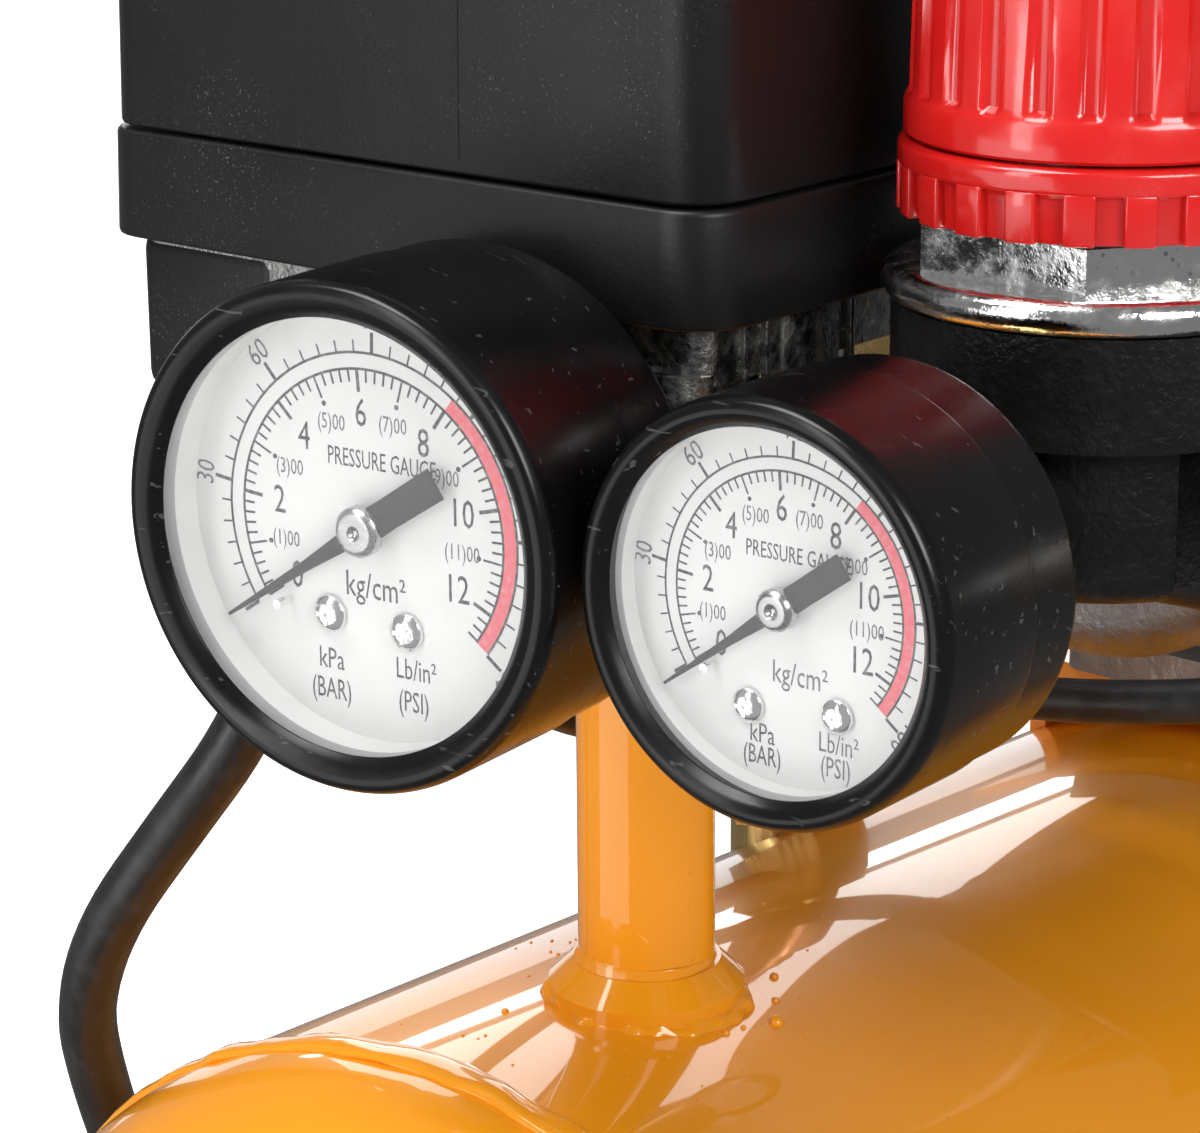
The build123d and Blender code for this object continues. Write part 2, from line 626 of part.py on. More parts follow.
throw = 8.0
piston_z = cylinder_foot + cylinder_height - 4
with BuildPart() as eccentric:
    disc(crank, 15, cylinder_x + 3, 8)
    disc(crank, 7.9, cylinder_x - 8, 12, at=(0, throw))
    block(crank, 26, 14, cylinder_x + 3, 8, at=(0, -16), corner=4)
save(eccentric, "eccentric")
with BuildPart() as piston_rod:
    eye = facing_x(0, 0, crank_z + throw)
    disc(eye, 15, cylinder_x - 7, 8)
    block(facing_z(cylinder_x - 3, 0, crank_z + throw), 8, 12, 0, piston_z - 6 - crank_z - throw)
    disc(facing_z(cylinder_x, 0, piston_z), bore_r - 0.3, -8, 8)
    disc(eye, 8.0, cylinder_x - 20, 30, Mode.SUBTRACT)
save(piston_rod, "piston_rod")

# ================================================================ motor
motor_front = pump_x + crankcase_length
motor_rear = motor_front + motor_length
frame_wall = 3.0
rotor_r = 25.0
stator_front = motor_front + 16
stator_length = 58.0
with BuildPart() as motor_housing:
    disc(crank, motor_r, motor_front, motor_length)
    fillet(motor_housing.edges().sort_by(Axis.X)[-1], 4)
    fin_ring = motor_r + 2
    for rib in range(8):
        disc(crank, fin_ring, motor_front + 12 + rib * 9, 3)
    disc(crank, motor_r - frame_wall, motor_front + 6, motor_length - 12, Mode.SUBTRACT)
    disc(crank, shaft_r + running, motor_front - 1, motor_length + 2, Mode.SUBTRACT)
save(motor_housing, "motor_housing")
with BuildPart() as stator:
    disc(crank, motor_r - frame_wall, stator_front, stator_length)
    disc(crank, motor_r - 12, stator_front - 8, stator_length + 16)
    disc(crank, rotor_r + 0.6, stator_front - 9, stator_length + 18, Mode.SUBTRACT)
save(stator, "stator")
shaft_front = cylinder_x + 11 + gap
fan_x = motor_rear + 6
with BuildPart() as rotor:
    disc(crank, shaft_r, shaft_front, fan_x + 22 - shaft_front)
    disc(crank, rotor_r, stator_front, stator_length)
save(rotor, "rotor")
fan_r = motor_r - 3
fan_hub_r = 14.0
blades = 9
with BuildPart() as fan:
    disc(crank, fan_hub_r, fan_x, 18)
    with BuildSketch(crank.offset(fan_x + 1)) as vanes:
        with PolarLocations((fan_r + fan_hub_r) / 2 - 1, blades):
            Rectangle(fan_r - fan_hub_r + 2, 3)
    extrude(to_extrude=vanes.sketch, amount=15)
    disc(crank, shaft_r, fan_x - 1, 20, Mode.SUBTRACT)
save(fan, "fan")
cowl_r = motor_r + 5
cowl_front = motor_rear - 14
with BuildPart() as fan_cowl:
    disc(crank, cowl_r, cowl_front, cowl_length)
    fillet(fan_cowl.edges().sort_by(Axis.X)[-1], 8)
    disc(crank, cowl_r - 2.2, cowl_front - 1, cowl_length - 1.5, Mode.SUBTRACT)
    with BuildSketch(crank.offset(cowl_front + cowl_length - 5)) as slots:
        for share, count in ((0.31, 6), (0.55, 10), (0.78, 14), (1.0, 18)):
            ring = share * (cowl_r - 7)
            with PolarLocations(ring, count):
                SlotOverall(2 * pi * ring / count - 4.5, 5, rotation=90)
    extrude(to_extrude=slots.sketch, amount=10, mode=Mode.SUBTRACT)
save(fan_cowl, "fan_cowl")

terminal_x = motor_front + 48
with BuildPart() as terminal_box:
    lid = facing_y(terminal_x, 0, crank_z)
    block(lid, 66, 44, -motor_r - 26, 26 + 10, corner=5)
    fillet(terminal_box.edges().sort_by(Axis.Y)[0:4], 2)
    disc(crank, fin_ring + 0.4, motor_front - 20, motor_length + 40, Mode.SUBTRACT)
    lead_in = facing_x(terminal_x - 33, -motor_r - 13, crank_z - 6)
    disc(lead_in, lead_r + 3, -9, 10)
    disc(lead_in, lead_r, -10, 14, Mode.SUBTRACT)
save(terminal_box, "terminal_box")

with BuildPart() as pump_saddle:
    seat = facing_z(saddle_front + saddle_length / 2, 0, saddle_top)
    block(seat, saddle_length, 2 * foot_reach + 10, -3, 3, corner=4)
    for side in (-1, 1):
        block(seat, saddle_length - 20, 3, -30, 27.5, at=(0, side * (foot_reach - 6)))
    for side in (-1, 1):
        disc(facing_z(pedestal_x - 3, side * bolt_y, saddle_top), 3.2, -4, 8, Mode.SUBTRACT)
    tank_solid(tank_r, Mode.SUBTRACT)
save(pump_saddle, "pump_saddle")

# ---------------------------------------------------------------- air lines
check_x = pump_x - 10
check_y = 42.0
check_foot = tank_z + sqrt(tank_r ** 2 - check_y ** 2)
with BuildPart() as check_valve:
    stand = facing_z(check_x, check_y, check_foot)
    disc(stand, 8, -6, 14)
    hexagon(stand, 19, 4, 20)
    disc(stand, 7, 24, 9)
    disc(facing_x(check_x, check_y, check_foot + 14), 4, -18, 12)
    tank_solid(tank_r, Mode.SUBTRACT)
save(check_valve, "check_valve")

pipe_r = 5.0
pipe_top_y = fin_size / 2 + 2
pipe_side_y = pipe_top_y + 28
pipe_points = [
    (check_x, check_y, check_foot + 33), (check_x, check_y, check_foot + 62),
    (check_x, pipe_side_y, check_foot + 62), (check_x, pipe_side_y, head_foot + 8),
    (cylinder_x - 20, pipe_side_y, head_foot + 8), (cylinder_x - 20, pipe_top_y, head_foot + 8)]
with BuildPart() as delivery_pipe:
    tube(pipe_points, pipe_r, 12)
    disc(facing_z(check_x, check_y, check_foot), 9, 33, 10)
    disc(facing_y(cylinder_x - 20, 0, head_foot + 8), 8, pipe_top_y, 9)
save(delivery_pipe, "delivery_pipe")

base_bottom = seam_z - skirt_height - base_drop
unload_x, unload_y = head_point(30, 22, switch_turn)
unloader_z = check_foot + 14
unloader_points = [
    (check_x - 18, check_y, unloader_z), (check_x - 30, check_y, unloader_z),
    (unload_x, unload_y, unloader_z + 4), (unload_x, unload_y, base_bottom)]
with BuildPart() as unloader_tube:
    tube(unloader_points, 2.0, 5)
save(unloader_tube, "unloader_tube")

# ---------------------------------------------------------------- motor lead and mains cord
def gland_exit(spot):
    """World place of a gland's lower end."""
    a = radians(switch_turn)
    return (corner_x + spot[0] * cos(a) - spot[1] * sin(a),
            corner_y + spot[0] * sin(a) + spot[1] * cos(a),
            seam_z + gland_z - gland_nut - gland_tail)


lead_out = gland_exit(gland_spots[1])
lead_end = (terminal_x - 42, -motor_r - 13, crank_z - 6)
lead_points = [
    lead_out, (-133, 48.8, 298.4), (-127.5, 47.7, 285), (-117.1, 45.7, 274.9), (-103.7, 43, 269.7),
    (-89.6, 37, 269.7), (-78, 27.2, 271.2), (-71.5, 14, 273.5), (-71, -1, 275.5),
    (-69, -16, 277.5), (-62, -31, 279.5), (-50.5, -43, 283.5), (-38, -52, 290.5),
    (-24, -60, 300), (lead_end[0] - 15, lead_end[1] + 1, lead_end[2] - 3), lead_end]
lead_radii = cord_radii(lead_points)
with BuildPart() as motor_lead:
    tube(lead_points, lead_r, lead_radii)
save(motor_lead, "motor_lead")

mains_out = gland_exit(gland_spots[0])
mains_points = [
    mains_out, (-161.2, 48, 297), (-165.5, 52.5, 282), (-172, 60, 268.5), (-176.5, 69, 254.5),
    (-175.5, 76.5, 240), (-168.5, 83, 225), (-160, 88.5, 208), (-154, 95, 187), (-151, 101, 162),
    (-149, 104, 132), (-147, 106, 99), (-143, 109, 66), (-139, 114, 42), (-130, 122, 23),
    (-116, 131, 10.5), (-98, 138, 5), (-78, 143.5, 4.1), (-56, 147, 4.1)]
mains_radii = cord_radii(mains_points)
with BuildPart() as mains_cord:
    tube(mains_points, mains_r, mains_radii)
save(mains_cord, "mains_cord")

coil_centre = (-40.0, 200.0)
coil_mid_r = 44.0
coil_band = 24.0
coil_height = 16.0
with BuildPart() as cord_coil:
    coil = facing_z(coil_centre[0], coil_centre[1], 0)
    disc(coil, coil_mid_r + coil_band / 2, 0, coil_height)
    fillet(cord_coil.edges().filter_by(GeomType.CIRCLE), 4)
    disc(coil, coil_mid_r - coil_band / 2, -1, coil_height + 2, Mode.SUBTRACT)
save(cord_coil, "cord_coil")

plug_x = coil_centre[0] + coil_mid_r + coil_band / 2
plug_y = coil_centre[1] - coil_mid_r - coil_band / 3
plug_r = 14.0
with BuildPart() as plug:
    body = facing_x(plug_x, plug_y, plug_r)
    disc(body, mains_r + 2, 0, 12)
    disc(body, plug_r, 12, 26)
    fillet(plug.edges().filter_by(GeomType.CIRCLE).sort_by(Axis.X)[-2:], 2)
    for side in (-1, 1):
        disc(body, 2.4, 38, 19, at=(side * 9.5, 0))
save(plug, "plug")

for name, radii in (("mains cord", mains_radii), ("motor lead", lead_radii)):
    print(name, "bend radii", [round(r, 1) for r in radii])
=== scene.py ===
import json
from math import cos, pi, radians, sin, sqrt
from random import Random

import bmesh
import bpy
from mathutils import Matrix, Vector, noise


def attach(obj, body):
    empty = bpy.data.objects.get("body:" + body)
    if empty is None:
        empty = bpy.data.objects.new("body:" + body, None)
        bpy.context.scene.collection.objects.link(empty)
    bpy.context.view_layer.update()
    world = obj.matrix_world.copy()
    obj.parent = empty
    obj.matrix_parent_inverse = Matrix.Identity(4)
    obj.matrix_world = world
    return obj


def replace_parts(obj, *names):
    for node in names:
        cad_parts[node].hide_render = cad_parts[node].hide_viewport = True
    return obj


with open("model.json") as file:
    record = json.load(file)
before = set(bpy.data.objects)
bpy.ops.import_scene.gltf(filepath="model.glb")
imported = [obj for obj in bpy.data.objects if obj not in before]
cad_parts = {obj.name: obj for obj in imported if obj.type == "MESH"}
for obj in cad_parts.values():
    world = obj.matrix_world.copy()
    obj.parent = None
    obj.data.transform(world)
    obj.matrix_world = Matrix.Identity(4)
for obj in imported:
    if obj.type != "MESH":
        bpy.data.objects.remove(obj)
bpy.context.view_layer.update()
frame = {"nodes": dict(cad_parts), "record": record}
nodes = frame["nodes"]
scene = bpy.context.scene
MM = 0.001

# ------------------------------------------------------------------ places, in metres
FACE_1 = (-0.2068, -0.01075, 0.3289)
FACE_2 = (-0.1971, -0.0621, 0.3289)
REGULATOR = (-0.1321, -0.0565, 0.3289)
SWITCH = (-0.1705, -0.0323, 0.3617)
RISER = (-0.1457, 0.0, 0.3289)

# ------------------------------------------------------------------ sizes, in millimetres
TANK_R, TANK_Z = 90, 165
FRONT_SEAM, REAR_SEAM = -180, 150
PIPE_R = 8.6
RIM_R, OPENING_R = 28.35, 24.15     # larger gauge, outside and inside its bezel
SMALL_RIM_R = 22.45
BOX_DEPTH, BOX_LENGTH, BOX_HEIGHT = 63.0, 95.6, 62.5
BOX_LEAN = 0.9                      # each side of the cover leans in by this at its top
SKIRT_DROP, SKIRT_LIP = 13.3, 0.8
KNOB_FOOT, KNOB_TOP, KNOB_BORE = 39.6, 73.6, 15.6

# ------------------------------------------------------------------ turns, in degrees
GAUGE_1_TURN, GAUGE_2_TURN = 10.0, 5.5
HEAD_TURN, BOX_TURN = 8.5, 3.3


def upright(place, turn):
    """Frame with z up, turned about the vertical; what is built in it is in millimetres."""
    return Matrix.Translation(place) @ Matrix.Rotation(radians(turn), 4, "Z") @ Matrix.Scale(MM, 4)


def facing(place, turn):
    """Frame of a dial: x to its reader's right, y up, z towards the reader."""
    a = radians(turn)
    axes = Matrix(((sin(a), 0, -cos(a)), (-cos(a), 0, -sin(a)), (0, 1, 0))).to_4x4()
    return Matrix.Translation(place) @ axes @ Matrix.Scale(MM, 4)


# ------------------------------------------------------------------ camera
def aim(turn, tilt, lean):
    back = Vector((sin(turn) * cos(tilt), -cos(turn) * cos(tilt), sin(tilt)))
    level = Vector((cos(turn), sin(turn), 0))
    rise = back.cross(level)
    right = cos(lean) * level + sin(lean) * rise
    up = cos(lean) * rise - sin(lean) * level
    return Matrix((right, up, back)).transposed().to_4x4()


lens = bpy.data.cameras.new("camera")
lens.sensor_fit = "HORIZONTAL"
lens.sensor_width = 36
lens.lens = 107.87
lens.clip_start = 0.02
lens.clip_end = 60
camera = bpy.data.objects.new("camera", lens)
scene.collection.objects.link(camera)
camera.matrix_world = Matrix.Translation((-0.4533, -0.2847, 0.4352)) @ aim(
    radians(-46.47), radians(16.54), radians(-0.48))
scene.camera = camera


# ------------------------------------------------------------------ finishes
class Value:
    """A number that varies over a surface; each operator adds one Math node."""

    def __init__(self, finish, socket):
        self.finish = finish
        self.socket = socket

    def sum(self, operation, first, second=0.0):
        made = self.finish.node("ShaderNodeMath", {"operation": operation}, {0: first, 1: second})
        return Value(self.finish, made.outputs[0])

    def __add__(self, other):
        return self.sum("ADD", self, other)

    def __mul__(self, other):
        return self.sum("MULTIPLY", self, other)

    __radd__ = __add__
    __rmul__ = __mul__

    def wave(self):
        return self.sum("SINE", self)


class Finish:
    """A material: constants go on its shader's own sockets, the rest through nodes."""

    def __init__(self, name, color, rough, **constants):
        self.material = bpy.data.materials.new(name)
        self.material.use_nodes = True
        self.tree = self.material.node_tree
        self.skin = self.tree.nodes["Principled BSDF"]
        self.color = (*color, 1)
        self.feed("Base Color", self.color)
        self.feed("Roughness", rough)
        for socket, value in constants.items():
            self.feed(socket.replace("_", " "), value)
        self.spot = self.node("ShaderNodeTexCoord").outputs["Object"]

    def feed(self, socket, value, made=None):
        target = (made or self.skin).inputs[socket]
        if isinstance(value, Value):
            value = value.socket
        if isinstance(value, bpy.types.NodeSocket):
            self.tree.links.new(value, target)
        else:
            target.default_value = value

    def node(self, kind, settings=None, inputs=None):
        made = self.tree.nodes.new(kind)
        for key, value in (settings or {}).items():
            setattr(made, key, value)
        for socket, value in (inputs or {}).items():
            self.feed(socket, value, made)
        return made

    def axis(self, letter, place=(0, 0, 0), turn=(0, 0, 0)):
        """One coordinate of the surface point in metres, in a frame placed and turned."""
        moved = self.node("ShaderNodeMapping", {"vector_type": "TEXTURE"},
                          {"Vector": self.spot, "Location": place, "Rotation": turn})
        parts = self.node("ShaderNodeSeparateXYZ", None, {0: moved.outputs[0]})
        return Value(self, parts.outputs[letter])

    def noise(self, scale, detail=3.0, rough=0.5, warp=0.0, stretch=(1, 1, 1)):
        point = self.node("ShaderNodeMapping", None, {"Vector": self.spot, "Scale": stretch})
        made = self.node("ShaderNodeTexNoise", None, {
            "Vector": point.outputs[0], "Scale": scale, "Detail": detail, "Roughness": rough,
            "Distortion": warp})
        return Value(self, made.outputs[0])

    def cells(self, scale, feature="F1", output="Distance"):
        made = self.node("ShaderNodeTexVoronoi", {"feature": feature},
                         {"Vector": self.spot, "Scale": scale})
        return Value(self, made.outputs[output])

    def band(self, value, low, high, start=0.0, end=1.0):
        """Ramps smoothly from start to end as value goes from low to high."""
        made = self.node("ShaderNodeMapRange", {"interpolation_type": "SMOOTHSTEP"}, {
            "Value": value, "From Min": low, "From Max": high, "To Min": start, "To Max": end})
        return Value(self, made.outputs[0])

    def tint(self, amount, color, under=None):
        """Lays a colour over what the surface has so far."""
        mixed = self.node("ShaderNodeMix", {"data_type": "RGBA"},
                          {0: amount, 6: under or self.color, 7: (*color, 1)})
        self.color = mixed.outputs[2]
        self.feed("Base Color", self.color)

    def bump(self, height, depth, strength=1.0):
        """depth is in metres. Bumps stack one on another."""
        made = self.node("ShaderNodeBump", None,
                         {"Height": height, "Distance": depth, "Strength": strength})
        if self.skin.inputs["Normal"].is_linked:
            self.tree.links.new(self.skin.inputs["Normal"].links[0].from_socket,
                                made.inputs["Normal"])
        self.tree.links.new(made.outputs[0], self.skin.inputs["Normal"])
        return self


def enamel():
    f = Finish("tank_paint", (0.84, 0.30, 0.007), 0.35, Coat_Weight=1.0, Coat_Roughness=0.03,
               Specular_IOR_Level=0.15)
    cloud = f.noise(9, 3)
    f.tint(f.band(cloud, 0.4, 0.75, 0, 0.35), (0.92, 0.38, 0.014))
    specks = f.band(f.cells(420), 0.05, 0.1, 1, 0) * f.band(f.noise(60), 0.55, 0.65)
    f.tint(specks * 0.6, (0.42, 0.12, 0.01), f.color)
    f.feed("Roughness", f.band(cloud, 0.3, 0.8, 0.24, 0.38))
    f.bump(f.noise(150, 2, 0.4), 0.0002, 0.4)
    f.bump(f.noise(28, 2), 0.0012, 0.5)
    return f


def black_plastic():
    f = Finish("black_plastic", (0.005, 0.005, 0.0055), 0.42, Specular_IOR_Level=0.4)
    dust = f.band(f.noise(2600, 2, 0.6), 0.63, 0.7) * f.band(f.noise(55, 3), 0.45, 0.7)
    f.tint(dust * 0.5, (0.16, 0.15, 0.14))
    f.feed("Roughness", f.band(f.noise(40, 4), 0.3, 0.75, 0.36, 0.5))
    f.bump(f.noise(1500, 3, 0.6), 0.00006, 0.5)
    f.bump(f.noise(120, 3), 0.0002, 0.25)
    return f


def gloss_black():
    f = Finish("gauge_black", (0.003, 0.003, 0.0033), 0.28, Specular_IOR_Level=0.34)
    scratch = f.band(f.noise(900, 2, 0.5, 0.6, (1, 0.06, 1)), 0.68, 0.72)
    f.tint(scratch * 0.35, (0.12, 0.12, 0.12))
    f.feed("Roughness", f.band(f.noise(70, 4), 0.35, 0.75, 0.22, 0.36))
    f.bump(f.noise(220, 2), 0.00012, 0.3)
    return f


def red_plastic():
    f = Finish("red_plastic", (0.55, 0.009, 0.008), 0.2, Coat_Weight=0.5, Coat_Roughness=0.08,
               Subsurface_Weight=0.05, Subsurface_Radius=(0.004, 0.001, 0.0006))
    f.tint(f.band(f.noise(80, 3), 0.35, 0.75, 0, 0.4), (0.66, 0.02, 0.014))
    f.feed("Roughness", f.band(f.noise(160, 4), 0.35, 0.7, 0.14, 0.3))
    f.bump(f.noise(240, 3), 0.0002, 0.35)
    return f


def chrome():
    f = Finish("chrome_plate", (0.86, 0.86, 0.85), 0.1, Metallic=1.0)
    pits = f.band(f.cells(900), 0.12, 0.3, 1, 0) * f.band(f.noise(160, 3), 0.48, 0.62)
    f.tint(pits * 0.7, (0.1, 0.1, 0.1))
    f.feed("Roughness", f.band(f.noise(300, 5, 0.7), 0.35, 0.7, 0.06, 0.3) + pits * 0.2)
    f.bump(f.noise(420, 4, 0.6), 0.0003, 0.45)
    f.bump(f.noise(60, 2), 0.0005, 0.4)
    return f


def zinc():
    f = Finish("zinc", (0.42, 0.42, 0.41), 0.34, Metallic=1.0)
    f.tint(f.band(f.noise(350, 4, 0.7), 0.35, 0.7, 0, 0.7), (0.16, 0.16, 0.16))
    f.feed("Roughness", f.band(f.noise(500, 4), 0.3, 0.7, 0.2, 0.5))
    f.bump(f.noise(700, 4, 0.65), 0.0004, 0.6)
    return f


def cast_black():
    f = Finish("cast_black", (0.004, 0.004, 0.004), 0.4, Specular_IOR_Level=0.35)
    f.tint(f.band(f.noise(500, 3), 0.5, 0.8, 0, 0.4), (0.016, 0.016, 0.016))
    f.feed("Roughness", f.band(f.noise(90, 3), 0.35, 0.7, 0.3, 0.52))
    f.bump(f.noise(1100, 3, 0.6), 0.00035, 0.6)
    f.bump(f.noise(300, 3), 0.0005, 0.4)
    return f


def cast_metal(name, color, grain, rough=0.42):
    f = Finish(name, color, rough, Metallic=1.0)
    dark = tuple(0.55 * c for c in color)
    f.tint(f.band(f.noise(90, 4, 0.6), 0.35, 0.75, 0, 0.6), dark)
    f.feed("Roughness", f.band(f.noise(400, 3), 0.3, 0.7, rough - 0.1, rough + 0.12))
    f.bump(f.noise(grain, 4, 0.65), 0.0004, 0.55)
    return f


def turned_metal(name, color, stretch, rough=0.26):
    f = Finish(name, color, rough, Metallic=1.0)
    lines = f.noise(1400, 2, 0.5, 0, stretch)
    f.tint(f.band(f.noise(120, 3), 0.4, 0.75, 0, 0.45), tuple(0.5 * c for c in color))
    f.feed("Roughness", f.band(lines, 0.3, 0.7, rough - 0.08, rough + 0.1))
    f.bump(lines, 0.00008, 0.4)
    return f


def rubber(name, color, rough, grain, crease=0.0):
    f = Finish(name, color, rough)
    f.tint(f.band(f.noise(300, 4), 0.45, 0.75, 0, 0.5), tuple(3 * c for c in color))
    f.feed("Roughness", f.band(f.noise(120, 4), 0.3, 0.7, rough - 0.08, rough + 0.1))
    f.bump(f.noise(grain, 3, 0.6), 0.00012, 0.5)
    if crease:
        f.bump(f.noise(210, 3, 0.5, 0.4), crease, 0.7)
    return f


def black_paint():
    f = Finish("black_paint", (0.01, 0.01, 0.011), 0.34, Coat_Weight=0.3, Coat_Roughness=0.2)
    f.tint(f.band(f.noise(40, 3), 0.4, 0.75, 0, 0.5), (0.022, 0.022, 0.023))
    f.feed("Roughness", f.band(f.noise(150, 3), 0.3, 0.75, 0.28, 0.45))
    f.bump(f.noise(800, 2), 0.0002, 0.5)
    return f


def lens_glass():
    f = Finish("clear_glass", (0.95, 0.97, 0.97), 0.03, Alpha=0.05)
    f.feed("Roughness", f.band(f.noise(200, 3), 0.3, 0.8, 0.02, 0.08))
    return f


def dial_face():
    f = Finish("dial_print", (0.60, 0.60, 0.59), 0.5, Specular_IOR_Level=0.3)
    f.tint(f.band(f.noise(260, 4), 0.45, 0.8, 0, 0.35), (0.5, 0.5, 0.49))
    f.feed("Roughness", f.band(f.noise(400, 2), 0.3, 0.7, 0.42, 0.58))
    return f


def ink(name, color, wear):
    f = Finish(name, color, 0.5, Specular_IOR_Level=0.2)
    f.tint(f.band(f.noise(1600, 3, 0.6), 0.4, 0.75, 0, wear), (0.55, 0.54, 0.53))
    return f


def laminated():
    f = Finish("lamination", (0.3, 0.3, 0.32), 0.4, Metallic=1.0)
    sheet = (f.axis("X") * (2 * pi / 0.0006)).wave()
    f.tint(f.band(sheet, 0.2, 0.9), (0.12, 0.12, 0.13))
    f.bump(sheet, 0.00005, 0.5)
    return f


SLOT = {
    "tank_paint": enamel(), "black_paint": black_paint(), "black_plastic": black_plastic(),
    "gauge_black": gloss_black(), "red_plastic": red_plastic(), "chrome_plate": chrome(),
    "zinc": zinc(), "cast_black": cast_black(),
    "cast_aluminium": cast_metal("cast_aluminium", (0.42, 0.42, 0.43), 900, 0.5),
    "brass": turned_metal("brass", (0.72, 0.5, 0.2), (1, 1, 0.05)),
    "rubber": rubber("rubber", (0.012, 0.012, 0.012), 0.4, 900, 0.0002),
    "tyre_rubber": rubber("tyre_rubber", (0.014, 0.014, 0.014), 0.7, 500),
    "clear_glass": lens_glass(), "dial_print": dial_face(),
    "pointer_black": ink("pointer_black", (0.004, 0.004, 0.004), 0.03),
    "steel": turned_metal("steel", (0.5, 0.5, 0.5), (1, 0.05, 1)),
    "copper": turned_metal("copper", (0.75, 0.36, 0.2), (1, 1, 0.1), 0.3),
    "lamination": laminated(),
}
INK = ink("dial_ink", (0.02, 0.02, 0.022), 0.25)
FAINT_INK = ink("faint_ink", (0.08, 0.08, 0.085), 0.3)
RED_INK = ink("red_ink", (0.66, 0.09, 0.12), 0.25)

for part in frame["record"]["subparts"]:
    for socket in nodes[part["node"]].material_slots:
        socket.material = SLOT[part["material_slot"]].material


# ------------------------------------------------------------------ pieces
def finished(name, mesh_or_bm, slot, body="frame", finish=None, sharp=32):
    """Turns a mesh that is in metres and in place into a piece that rides on a body."""
    if isinstance(mesh_or_bm, bmesh.types.BMesh):
        bmesh.ops.recalc_face_normals(mesh_or_bm, faces=mesh_or_bm.faces)
        mesh = bpy.data.meshes.new(name)
        mesh_or_bm.to_mesh(mesh)
        mesh_or_bm.free()
    else:
        mesh = mesh_or_bm
    mesh.shade_smooth()
    mesh.set_sharp_from_angle(angle=radians(sharp))
    mesh.materials.clear()
    mesh.materials.append((finish or SLOT[slot]).material)
    piece = bpy.data.objects.new(name, mesh)
    scene.collection.objects.link(piece)
    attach(piece, body)
    return piece


def shift(bm, matrix):
    bmesh.ops.transform(bm, matrix=matrix, verts=bm.verts)
    return bm


def soft(points, radius, steps=4, closed=False):
    """Rounds the corners of a profile."""
    out = []
    count = len(points)
    for i, here in enumerate(points):
        here = Vector(here)
        if not closed and i in (0, count - 1):
            out.append(tuple(here))
            continue
        before = (Vector(points[i - 1]) - here)
        after = (Vector(points[(i + 1) % count]) - here)
        reach = min(radius, before.length * 0.45, after.length * 0.45)
        start = here + before.normalized() * reach
        end = here + after.normalized() * reach
        for k in range(steps + 1):
            t = k / steps
            out.append(tuple(start * (1 - t) ** 2 + here * 2 * t * (1 - t) + end * t * t))
    return out


def turned(profile, closed=False, steps=96, sweep=2 * pi):
    """Spins a profile of (radius, height) points about z."""
    bm = bmesh.new()
    rim = [bm.verts.new((r, 0, z)) for r, z in profile]
    edges = [bm.edges.new(pair) for pair in zip(rim, rim[1:])]
    if closed:
        edges.append(bm.edges.new((rim[-1], rim[0])))
    bmesh.ops.spin(bm, geom=rim + edges, cent=(0, 0, 0), axis=(0, 0, 1), angle=sweep,
                   steps=steps, use_merge=sweep > 6.28)
    bmesh.ops.remove_doubles(bm, verts=bm.verts, dist=1e-4)
    return bm


def slab(bm, width, length, height, place, bevel=0.0, turn=0.0, steps=2):
    """A box whose middle is at place, turned about z, with rounded edges."""
    where = Matrix.Translation(place) @ Matrix.Rotation(radians(turn), 4, "Z")
    made = bmesh.ops.create_cube(bm, size=1, matrix=where @ Matrix.Diagonal(
        (width, length, height, 1)))
    if bevel:
        edges = {e for v in made["verts"] for e in v.link_edges}
        bmesh.ops.bevel(bm, geom=list(edges), offset=bevel, segments=steps, profile=0.5,
                        material=-1, affect="EDGES")
    return made["verts"]


def rod(bm, radius, start, end, tip=None, sides=32):
    """A round bar or cone between two points."""
    start, end = Vector(start), Vector(end)
    way = end - start
    where = Matrix.Translation((start + end) / 2) @ way.to_track_quat("Z", "Y").to_matrix().to_4x4()
    bmesh.ops.create_cone(bm, cap_ends=True, segments=sides, radius1=radius,
                          radius2=radius if tip is None else tip, depth=way.length, matrix=where)


# ------------------------------------------------------------------ cords
def spline(name, points, radius):
    curve = bpy.data.curves.new(name, "CURVE")
    curve.dimensions = "3D"
    line = curve.splines.new("NURBS")
    line.points.add(len(points) - 1)
    for knot, place in zip(line.points, points):
        knot.co = (*place, 1)
    line.order_u = 3
    line.use_endpoint_u = True
    line.resolution_u = 6
    curve.bevel_depth = radius
    curve.bevel_resolution = 5
    curve.use_fill_caps = True
    cord = bpy.data.objects.new(name, curve)
    scene.collection.objects.link(cord)
    return cord


def centre_line(cord):
    """The points along a cord's own line."""
    bare = cord.data.copy()
    bare.bevel_depth = 0
    holder = bpy.data.objects.new("centre_line", bare)
    line = [v.co.copy() for v in bpy.data.meshes.new_from_object(holder).vertices]
    bpy.data.objects.remove(holder)
    return line


def sleeve(line, start, length, thick, thin):
    """A tapered strain relief that follows a cord from start, capped flat at both ends."""
    bm = bmesh.new()
    far = 0.0
    loops = []
    for here, after in zip(line, line[1:]):
        if start <= far <= start + length:
            share = (far - start) / length
            radius = thick + (thin - thick) * share ** 0.8
            turn = (after - here).to_track_quat("Z", "Y").to_matrix().to_4x4()
            ring = bmesh.ops.create_circle(bm, cap_ends=False, segments=32, radius=radius,
                                           matrix=Matrix.Translation(here) @ turn)
            loops.append(ring["verts"])
        far += (after - here).length
    for one, two in zip(loops, loops[1:]):
        edges = [e for e in bm.edges if all(v in one for v in e.verts)
                 or all(v in two for v in e.verts)]
        bmesh.ops.bridge_loops(bm, edges=edges)
    for end in (loops[0], loops[-1]):
        bmesh.ops.contextual_create(bm, geom=end)
    return bm


